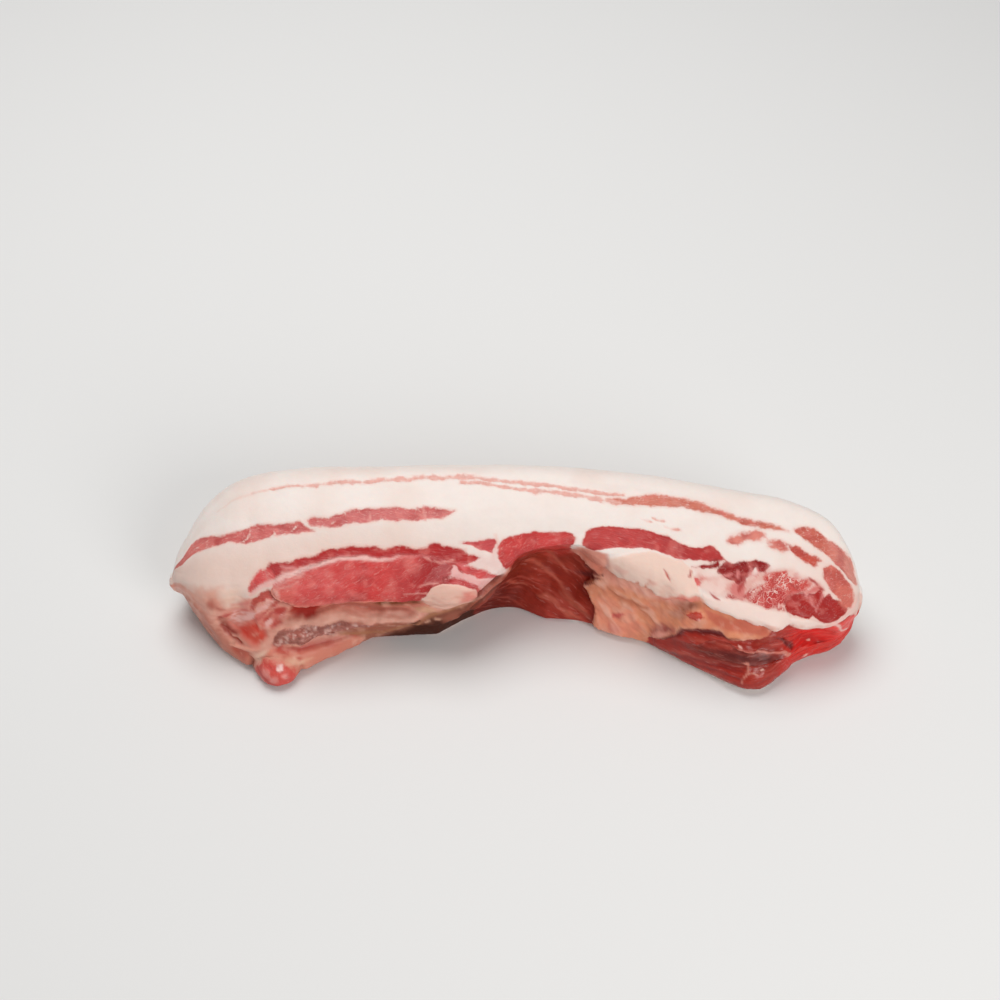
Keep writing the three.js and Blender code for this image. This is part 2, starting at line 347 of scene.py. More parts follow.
# Millimetres to one unit of girth on the cut faces and on the rib side.
CUT_SPREAD = 56.0
RIB_SPREAD = 30.0


def unroll(girth_place):
    """Millimetres along the girth from the lip: negative over the cut face."""
    past = girth_place - 1
    return np.where(past < 0, past * CUT_SPREAD, past * RIB_SPREAD)


below = (q > 2.03) & (q < 3.03)
folded = np.where(below, 3.03 - q, np.where(q > 3.03, q - 4, q))
spots = form / 1.0
px = x + 0.7 * noise(spots, 7.0, 11, 2) + 0.25 * noise(spots, 1.9, 12, 2)
pv = unroll(folded) + 0.6 * noise(spots, 7.0, 13, 2) + 0.22 * noise(spots, 1.9, 14, 2)
px = px + below * 3.0 * noise(spots, 30.0, 15)
pv = pv + below * 3.5 * noise(spots, 30.0, 16)


def patch(outline):
    """Distance in millimetres to a closed outline, positive inside. A point is inside when a line
    from it crosses an odd number of sides."""
    corner_x, corner_v = np.array(outline, float).T
    corner_v = unroll(corner_v)
    nearest = np.full(px.shape, 1e3)
    inside = np.zeros(px.shape, bool)
    for ax, av, bx, bv in zip(corner_x, corner_v, np.roll(corner_x, -1), np.roll(corner_v, -1)):
        t = np.clip(((px - ax) * (bx - ax) + (pv - av) * (bv - av))
                    / ((bx - ax) ** 2 + (bv - av) ** 2 + 1e-9), 0, 1)
        nearest = np.minimum(nearest, np.hypot(px - ax - t * (bx - ax), pv - av - t * (bv - av)))
        crossing = ax + (bx - ax) * (pv - av) / (bv - av if bv != av else 1)
        inside ^= ((av > pv) != (bv > pv)) & (px < crossing)
    return np.where(inside, nearest, -nearest)


def stroke(path):
    """Distance in millimetres inside a line of x, girth and half width, positive within it."""
    points = np.array(path, float)
    points[:, 1] = unroll(points[:, 1])
    best = np.full(px.shape, -1e3)
    for (ax, av, ah), (bx, bv, bh) in zip(points[:-1], points[1:]):
        t = np.clip(((px - ax) * (bx - ax) + (pv - av) * (bv - av))
                    / ((bx - ax) ** 2 + (bv - av) ** 2 + 1e-9), 0, 1)
        away = np.hypot(px - ax - t * (bx - ax), pv - av - t * (bv - av))
        best = np.maximum(best, ah + t * (bh - ah) - away)
    return best


def colour(red, green, blue):
    """Linear colour from screen values of 0 to 255, by the sRGB curve."""
    c = np.array([red, green, blue]) / 255
    return np.where(c <= 0.04045, c / 12.92, ((c + 0.055) / 1.055) ** 2.4)


def tint(layer, weight, red, green, blue):
    """Mixes a colour into a layer by weight."""
    layer += (colour(red, green, blue) - layer) * weight[..., None]


# Lean: red, green, blue, share of marbling, slant and stretch of its grain, softness of its edge,
# height and outline.
LEAN = {
    "long streak, end": (216, 118, 112, 0.34, 0.2, 0.5, 1.5, 0, [
        (-132, .54), (-128, .44), (-124.2, .38), (-121.2, .355), (-118.6, .39), (-115.8, .43),
        (-112.4, .47), (-110.6, .485), (-108.4, .495), (-107.6, .53), (-109.6, .56),
        (-113, .562), (-116.1, .565), (-118.6, .57), (-121.1, .572), (-122.9, .58), (-127, .65)]),
    "long streak, left": (206, 100, 96, 0.26, 0.2, 0.5, 1.3, 0, [
        (-110.7, .51), (-107.6, .494), (-104.6, .494), (-101.7, .489), (-99.2, .476),
        (-97.8, .458), (-95.2, .454), (-92.3, .458), (-89.2, .472), (-85.6, .463), (-82.7, .463),
        (-80.4, .458), (-79, .476), (-78.3, .498), (-76.6, .512), (-74.4, .525), (-76.6, .534),
        (-79.5, .543), (-83.2, .547), (-86.7, .547), (-89, .543), (-90.3, .538), (-93.1, .552),
        (-96, .57), (-99.6, .578), (-103.2, .565), (-106.3, .556), (-109.8, .561)]),
    "long streak, middle": (206, 100, 97, 0.26, 0.2, 0.5, 1.5, 0, [
        (-78.3, .458), (-75.1, .44), (-69.3, .44), (-67.4, .432), (-64.5, .427), (-62.6, .414),
        (-60.5, .396), (-56.8, .392), (-53.4, .387), (-51.7, .392), (-49.7, .383), (-45.2, .387),
        (-41.6, .40), (-39.4, .409), (-36.6, .396), (-32.1, .392), (-29.5, .396), (-25.9, .405),
        (-22.4, .418), (-24.9, .449), (-27.6, .467), (-31.2, .467), (-33.4, .463), (-37.2, .476),
        (-40, .485), (-44.3, .485), (-47.3, .481), (-50.2, .472), (-52, .481), (-56, .476),
        (-60.2, .485), (-62.6, .494), (-65.3, .512), (-67.7, .512), (-70.8, .503), (-73.9, .494),
        (-76.8, .485)]),
    "upper sheet": (182, 42, 42, 0.15, 0.1, 0.35, 1.4, 0, [
        (-91.6, .77), (-90.7, .73), (-88.6, .72), (-85.4, .71), (-82.7, .71), (-80.9, .70),
        (-79.2, .69), (-76.1, .69), (-73.4, .682), (-71.1, .65), (-68.2, .645), (-64.5, .652),
        (-61, .64), (-52.9, .64), (-47, .648), (-42.8, .645), (-36.9, .65), (-32.8, .645),
        (-31.8, .63), (-29.2, .63), (-25.9, .645), (-23.5, .654), (-21, .672), (-18.6, .681),
        (-18.2, .703), (-16.5, .721), (-13.6, .747), (-16.5, .774), (-18.6, .783), (-20.3, .788),
        (-21, .814), (-20, .832), (-30, .80), (-44, .74), (-58, .73), (-68, .735), (-73.9, .755),
        (-77.3, .77), (-80.2, .785), (-83.4, .805), (-85.6, .825), (-88.4, .845), (-90.1, .85)]),
    "upper sheet, left": (214, 80, 80, 0.25, 0.6, 0.35, 1.6, 0, [
        (-98, .95), (-98, .89), (-97.1, .85), (-96, .80), (-93.5, .77), (-92, .775), (-90.6, .765),
        (-88.5, .80), (-88.4, .84), (-90.7, .86), (-92.5, .885), (-94.6, .92), (-96.7, .96)]),
    "flap": (210, 82, 80, 0.2, -0.5, 0.3, 0.8, 0.5, [
        (-89.8, .895), (-88.8, .868), (-86.5, .845), (-83.6, .822), (-80.6, .802), (-78.3, .782),
        (-75.3, .755), (-72.1, .735), (-70.3, .722), (-66.9, .71), (-58.5, .705), (-44.6, .70),
        (-36, .69), (-28, .72), (-20.5, .80), (-20, .832), (-22.8, .854), (-24, .872),
        (-24.5, .91), (-28.5, .93), (-31, .95), (-32, .98), (-34, 1.0), (-35, 1.04),
        (-60, 1.05), (-76, 1.035), (-80, 1.02), (-83.4, .99), (-85.8, .97), (-87.8, .95),
        (-89.3, .92)]),
    # Lean under the flap's tip: its dark red is painted shadow of the flap.
    "under the flap": (192, 84, 74, 0.05, 0, 0.3, 1.4, -0.2, [
        (-98.6, 1.14), (-98, 1.08), (-96, 1.01), (-93.1, .95), (-90.5, .91), (-89.4, .90),
        (-89, .93), (-88.4, .965), (-87, 1.0), (-89.8, 1.0), (-92.5, 1.02), (-95, 1.07),
        (-96.9, 1.12)]),
    "wedge": (202, 77, 79, 0.15, -0.1, 0.3, 1, 0, [
        (-20.7, .632), (-16.5, .627), (-12.2, .623), (-8.2, .627), (-7.4, .645), (-7.7, .69),
        (-8.3, .716), (-9, .73), (-11.8, .699), (-15.4, .667), (-18.2, .645)]),
    "block": (204, 62, 60, 0.22, -0.6, 0.4, 1.2, 0, [
        (-6.8, .716), (-6.4, .672), (-5, .636), (-1.8, .636), (1, .641), (3.1, .627), (7.2, .618),
        (9.9, .632), (13, .627), (18.1, .645), (20.8, .672), (22.1, .712), (21.8, .80),
        (21, 1.0), (20.6, 1.22), (19.8, 1.32), (12, 1.32), (5, 1.3), (-1.8, 1.1), (-3.9, .98), (-5.7, .859),
        (-6.8, .783)]),
    "bar": (194, 66, 64, 0.12, 0.15, 0.3, 1.1, 0, [
        (24.1, .88), (24.0, .80), (24.8, .721), (25.8, .645), (27.7, .61), (31.6, .592),
        (38.2, .578), (42.4, .57), (45.7, .565), (48.6, .578), (52, .583), (55.6, .57),
        (57.8, .596), (60.8, .618), (64.1, .623), (68.4, .601), (70.8, .57), (72.4, .57),
        (72.9, .596), (74.5, .623), (75.8, .654), (72.7, .685), (69.3, .699), (65.7, .716),
        (62.9, .725), (59.4, .739), (52, .739), (48.9, .745), (45.1, .75), (41.5, .774),
        (38, .797), (33.2, .845), (30, .90), (27.7, .95), (25.4, .95)]),
    "thin strand": (208, 80, 80, 0.25, 0.25, 0.2, 1.3, 0, [
        (-22.8, .80), (-21, .775), (-17.9, .79), (-15, .81), (-10.4, .868), (-6.1, 1.02),
        (-6.4, 1.055), (-11.4, .925), (-16.1, .852), (-20, .822), (-22.5, .83)]),
    "strand below": (200, 76, 76, 0.25, 0.25, 0.2, 1.5, 0, [
        (-26, .868), (-22.8, .856), (-18.6, .88), (-15, .925), (-12.2, 1.02), (-11.2, 1.10),
        (-12.9, 1.11), (-16.1, .99), (-20.3, .92), (-24.2, .90)]),
    "marbled, upper": (142, 20, 20, 0.2, -0.9, 0.5, 1.2, 0, [
        (63.6, .78), (65.7, .77), (68.9, .73), (71.7, .71), (73.6, .68), (74, .70), (73.4, .73),
        (72.7, .74), (70.5, .75), (69.3, .75), (68.4, .77), (66.9, .765), (65.7, .77)], [
        (74.5, .70), (75.6, .67), (77.6, .66), (79.8, .65), (82.3, .61), (85.2, .59), (87.4, .57),
        (88.5, .58), (90.2, .58), (92.5, .58), (92.8, .60), (91.9, .63), (91.4, .65), (89.7, .66),
        (88.5, .65), (87.9, .63), (87.4, .63), (86.2, .66), (85.2, .69), (84.6, .71), (83.5, .73),
        (82.3, .76), (81.3, .78), (80.4, .78), (79.6, .77), (77.6, .78), (76.5, .77), (76.1, .76),
        (73.8, .77), (73.1, .76), (73.6, .73)]),
    "red spot": (228, 104, 100, 0, 0, 1, 1.8, 0, [
        (64.1, .85), (65.7, .84), (66.7, .84), (66.9, .88), (66.7, .91), (65.4, .91), (64.6, .89),
        (63.6, .88)]),
    "marbled, fingers": (186, 78, 76, 0.5, -0.95, 0.6, 1.4, 0, [
        (88.5, .75), (86.8, .77), (85.6, .79), (84, .82), (82.9, .85), (84.4, .85), (86, .81),
        (87, .79), (88.3, .76)], [
        (76.1, .90), (77.4, .87), (79.1, .86), (79.8, .87), (81.7, .86), (82.5, .86), (80.4, .88),
        (78.7, .89), (77, .90)]),
    "marbled, centre": (214, 108, 102, 0.85, -0.95, 0.6, 2, 0, [
        (90.8, .69), (93.5, .632), (96.9, .614), (99.3, .636), (101.9, .645), (106.6, .641),
        (107, .69), (104.8, .73), (100.6, .752), (98.4, .81), (97.7, .854), (92.5, .868),
        (88.3, .868), (85.4, .85), (87.6, .796), (89.1, .756), (91.4, .734)]),
    "marbled, middle": (202, 78, 72, 0.6, -0.95, 0.6, 2, 0, [
        (94.8, .63), (96.3, .61), (98.5, .61), (99.7, .64), (99.2, .67), (100.5, .69), (98.9, .71),
        (97, .71), (96, .73), (93.9, .74), (92.3, .74), (91.2, .73), (90.8, .70), (92.5, .69),
        (94.6, .67), (95.7, .66)], [
        (100.2, .66), (102.1, .65), (103.6, .65), (105.6, .65), (106.5, .66), (105.4, .69),
        (103.8, .72), (102.8, .73), (101.9, .71), (101.3, .73), (100.2, .71)], [
        (96, .73), (99, .71), (102, .74), (100, .76), (97.5, .765), (95.5, .755)]),
    "marbled, low strip": (190, 62, 60, 0.55, -0.9, 0.6, 1.6, 0, [
        (89.3, .77), (90.1, .79), (92.3, .78), (93.2, .77), (94.4, .77), (96, .75), (97.5, .77),
        (98, .80), (97, .82), (96, .85), (95.1, .84), (94.3, .82), (93.4, .81), (92.1, .81),
        (90.8, .83), (88.9, .85), (87.4, .85), (86.6, .84), (87.7, .81), (88.9, .79)], [
        (84.8, .86), (86.6, .85), (88.3, .85), (90.2, .84), (92.1, .83), (92.6, .85), (94.1, .86),
        (96, .86), (97.5, .89), (94.1, .875), (92.3, .87), (90.2, .89), (89.3, .875), (87.7, .87),
        (85.8, .87)]),
    "marbled, end": (168, 34, 31, 0.2, -0.5, 0.5, 0.9, 0, [
        (97.2, .85), (98.8, .81), (100.4, .775), (103.3, .755), (104.7, .745), (105.9, .765),
        (106.6, .74), (108.4, .745), (109.4, .735), (110.6, .715), (112.2, .70), (112.4, .745),
        (113.2, .765), (114.2, .745), (115.5, .73), (116.9, .765), (119.3, .78), (121.8, .85),
        (122.4, .92), (121.2, .955), (118.9, .955), (116.6, .985), (114.6, .995), (112.8, .985),
        (110.1, .945), (108.1, .915), (106.3, .95), (103.8, .945), (100.6, .925), (97.7, .90),
        (97, .87)]),
    "right streak, first": (222, 134, 120, 0.2, -0.5, 0.5, 2, 0, [
        (77.2, .503), (78.5, .449), (81.1, .414), (84.6, .365), (88.1, .347), (91.4, .352),
        (92.1, .378), (90.2, .418), (88.5, .427), (85, .432), (81.3, .498)]),
    "right streak, second": (217, 124, 111, 0.25, -0.5, 0.5, 2, 0, [
        (92.6, .40), (94.6, .385), (97, .38), (99.2, .40), (98.5, .43), (99.7, .45), (97.7, .47),
        (95.8, .46), (92.5, .45), (93.9, .43), (92.6, .42)]),
    "right streak, third": (198, 84, 70, 0.2, -0.5, 0.5, 1.6, 0, [
        (99.7, .42), (102.4, .39), (104.1, .40), (106.2, .42), (109.2, .44), (112.3, .46),
        (110.3, .49), (109.5, .54), (107.2, .52), (104.4, .49), (102.1, .46), (100.3, .44)]),
    "outer streak": (203, 104, 88, 0.28, -0.7, 0.5, 1.8, 0, [
        (103.2, .26), (106.3, .215), (110.2, .195), (113.2, .21), (116, .23), (120.1, .20),
        (123.8, .13), (126, .13), (126.6, .24), (125.7, .42), (124.5, .505), (122.2, .505), (121, .475), (118.8, .455), (116, .41), (113.6, .37), (109.9, .365),
        (109.1, .335), (106, .325), (105.2, .31), (103.4, .285)]),
    "end lobe": (214, 112, 98, 0.26, -0.9, 0.5, 1.5, 0, [
        (111.8, .53), (113.2, .495), (116.1, .47), (119.2, .485), (120.8, .54), (122.8, .575),
        (123.4, .66), (124.1, .77), (124.4, .87), (123.6, .925), (121.5, .885), (119.5, .80),
        (118.2, .745), (115.7, .70), (114, .65), (112.2, .60)]),
    "right band": (210, 120, 100, 0.3, -0.12, 0.4, 2, 0, [
        (33, .33), (42, .27), (50, .227), (52.9, .205), (58.1, .209), (63.6, .196), (68.1, .209),
        (74, .245), (84, .265), (95, .26), (100, .29), (92, .31), (82, .31), (73.8, .295),
        (66.7, .305), (62.1, .292), (56.2, .32), (49.7, .338), (42, .35), (36, .37)]),
}

# Thin lines of pale lean in the back fat: x, girth, half width.
PALE_LINES = [
    [(-99, .195, .1), (-94, .19, .3), (-88, .19, .45), (-74.4, .195, .5), (-60, .18, .55),
     (-45.2, .17, .6), (-33, .155, .6), (-22.4, .145, .6), (-9.3, .175, .6), (4.1, .20, .65),
     (17.4, .235, .6), (30.6, .27, .8), (40, .26, .5)],
    [(50, .45, .05), (52, .46, .15), (54, .455, .05)],
    [(55, .50, .05), (57.5, .51, .15), (60, .505, .05)],
    [(46, .48, .05), (48, .49, .12), (50, .49, .05)],
    [(-21.4, .19, .3), (-13, .21, .7), (-6.4, .225, .75), (0, .255, .8), (5.5, .26, .7),
     (20.8, .30, .75), (30.6, .335, .9), (38, .34, .6)],
]

# Seams and flecks of fat across the lean.
SEAMS = [
    [(-98.7, .48, .1), (-98.4, .52, .35), (-98.7, .54, .3), (-100.6, .56, .3), (-102, .57, .1)],
    [(-90.1, .51, .2), (-89.4, .53, .4), (-89.6, .545, .2)],
    [(-82.9, .52, .3), (-81.1, .49, .35)],
    [(-63.2, .42, .1), (-62.9, .45, .3)],
    [(-66.9, .47, .1), (-68, .48, .3)],
    [(-119.1, .50, .3), (-117.9, .52, .3)],
    [(-8.2, .60, .3), (-7, .66, .55), (-8.0, .72, .7), (-9, .78, .9), (-8, .83, .8)],
]
FAT_POCKETS = [
    [(-23.4, .80), (-22.6, .775), (-21.6, .785), (-21.2, .815), (-19.6, .832), (-16, .862),
     (-12.2, .93), (-7.8, 1.05), (-7.4, 1.12), (-12, 1.0), (-15, .918), (-18.6, .872),
     (-22.8, .852), (-24.6, .86), (-23.6, .83)],
]

along = np.clip((x + 129) / 258, 0, 1)
across = np.clip(folded, 0, 1)
fat = np.zeros(px.shape + (3,)) + colour(238, 226, 220)
tint(fat, smooth(0.35, 0.75, across) * (1 - smooth(0.25, 0.55, along)), 230, 203, 192)
tint(fat, smooth(0.55, 0.95, across) * smooth(0.7, 0.9, along), 230, 200, 191)
tint(fat, 0.35 * smooth(-0.2, 1, noise(spots, 14.0, 21, 2)), 228, 200, 188)
lean = np.zeros(px.shape + (3,)) + colour(205, 85, 90)
marbling = np.zeros(px.shape)
lean_edge = np.full(px.shape, -6.0)
relief = np.zeros(px.shape)
slant = np.where(pv > 0, 0.35, 0.1)
stretch = np.full(px.shape, 0.3)
torn_noise = noise(spots, 3.4, 24, 3)


def lay_lean(outline, share, angle, length, softness, height, red, green, blue):
    """Adds one piece of lean: its colour, marbling, grain, height and distance."""
    edge = patch(outline) / softness + 0.22 * torn_noise
    inside = smooth(-1.0, 0.0, edge)
    tint(lean, inside, red, green, blue)
    marbling[:] += (share - marbling) * inside
    stretch[:] += (length - stretch) * inside
    slant[:] = np.where(edge > -0.5, angle, slant)
    relief[:] += height * smooth(-0.8, 1.0, edge)
    lean_edge[:] = np.maximum(lean_edge, edge)


for red, green, blue, share, angle, length, softness, height, *pieces in LEAN.values():
    for outline in pieces:
        lay_lean(outline, share, angle, length, softness, height, red, green, blue)
flap = smooth(-1, 1, patch(LEAN["flap"][-1]))
wander = 8 * noise(spots, 6.0, 23, 2)
tint(lean, flap * 0.35 * (1 - smooth(-86, -74, px + wander)), 228, 126, 112)
tint(lean, flap * 0.5 * smooth(0.96, 1.03, folded) * (1 - smooth(-50, -42, px)), 226, 128, 114)
tint(lean, flap * 0.8 * smooth(-50, -36, px + wander), 172, 34, 36)
tint(lean, flap * 0.6 * smooth(-38, -29, px), 160, 30, 32)
tint(lean, flap * 0.6 * smooth(-66, -58, px + wander) * (1 - smooth(-50, -42, px)), 204, 48, 46)
bar = smooth(-1, 1, patch(LEAN["bar"][-1]))
tint(lean, bar * 0.5 * smooth(46, 66, px + wander), 168, 36, 36)
outer = smooth(-1, 1, patch(LEAN["outer streak"][-1]))
tint(lean, outer * 0.7 * smooth(112, 121, px), 222, 150, 138)
tint(lean, 0.45 * smooth(0, 0.8, noise(spots, 5.0, 26, 3)), 168, 50, 52)
tint(lean, 0.40 * smooth(0.1, 0.8, noise(spots, 3.2, 27, 3)), 226, 128, 120)
broken = 0.15 + 0.6 * noise(spots, 1.9, 22, 3) + 0.25 * noise(spots, 7.0, 28)
for line in PALE_LINES:
    edge = stroke(line) + broken
    tint(lean, smooth(-1.0, 0.0, edge), 228, 166, 154)
    lean_edge = np.maximum(lean_edge, np.minimum(edge, 0.3))
for line in SEAMS:
    lean_edge = np.minimum(lean_edge, -stroke(line))
    tint(fat, smooth(-0.8, 0.6, stroke(line)) * 0.5, 236, 178, 166)
for outline in FAT_POCKETS:
    lean_edge = np.minimum(lean_edge, -patch(outline) / 1.3)
tint(fat, smooth(-0.9, 0.1, lean_edge) * 0.45, 232, 176, 164)
tint(fat, smooth(0.2, 1.2, lean_edge) * 0.45, 234, 172, 160)
tint(fat, 0.45 * smooth(84, 118, px) * smooth(0.25, 0.45, across), 231, 190, 178)
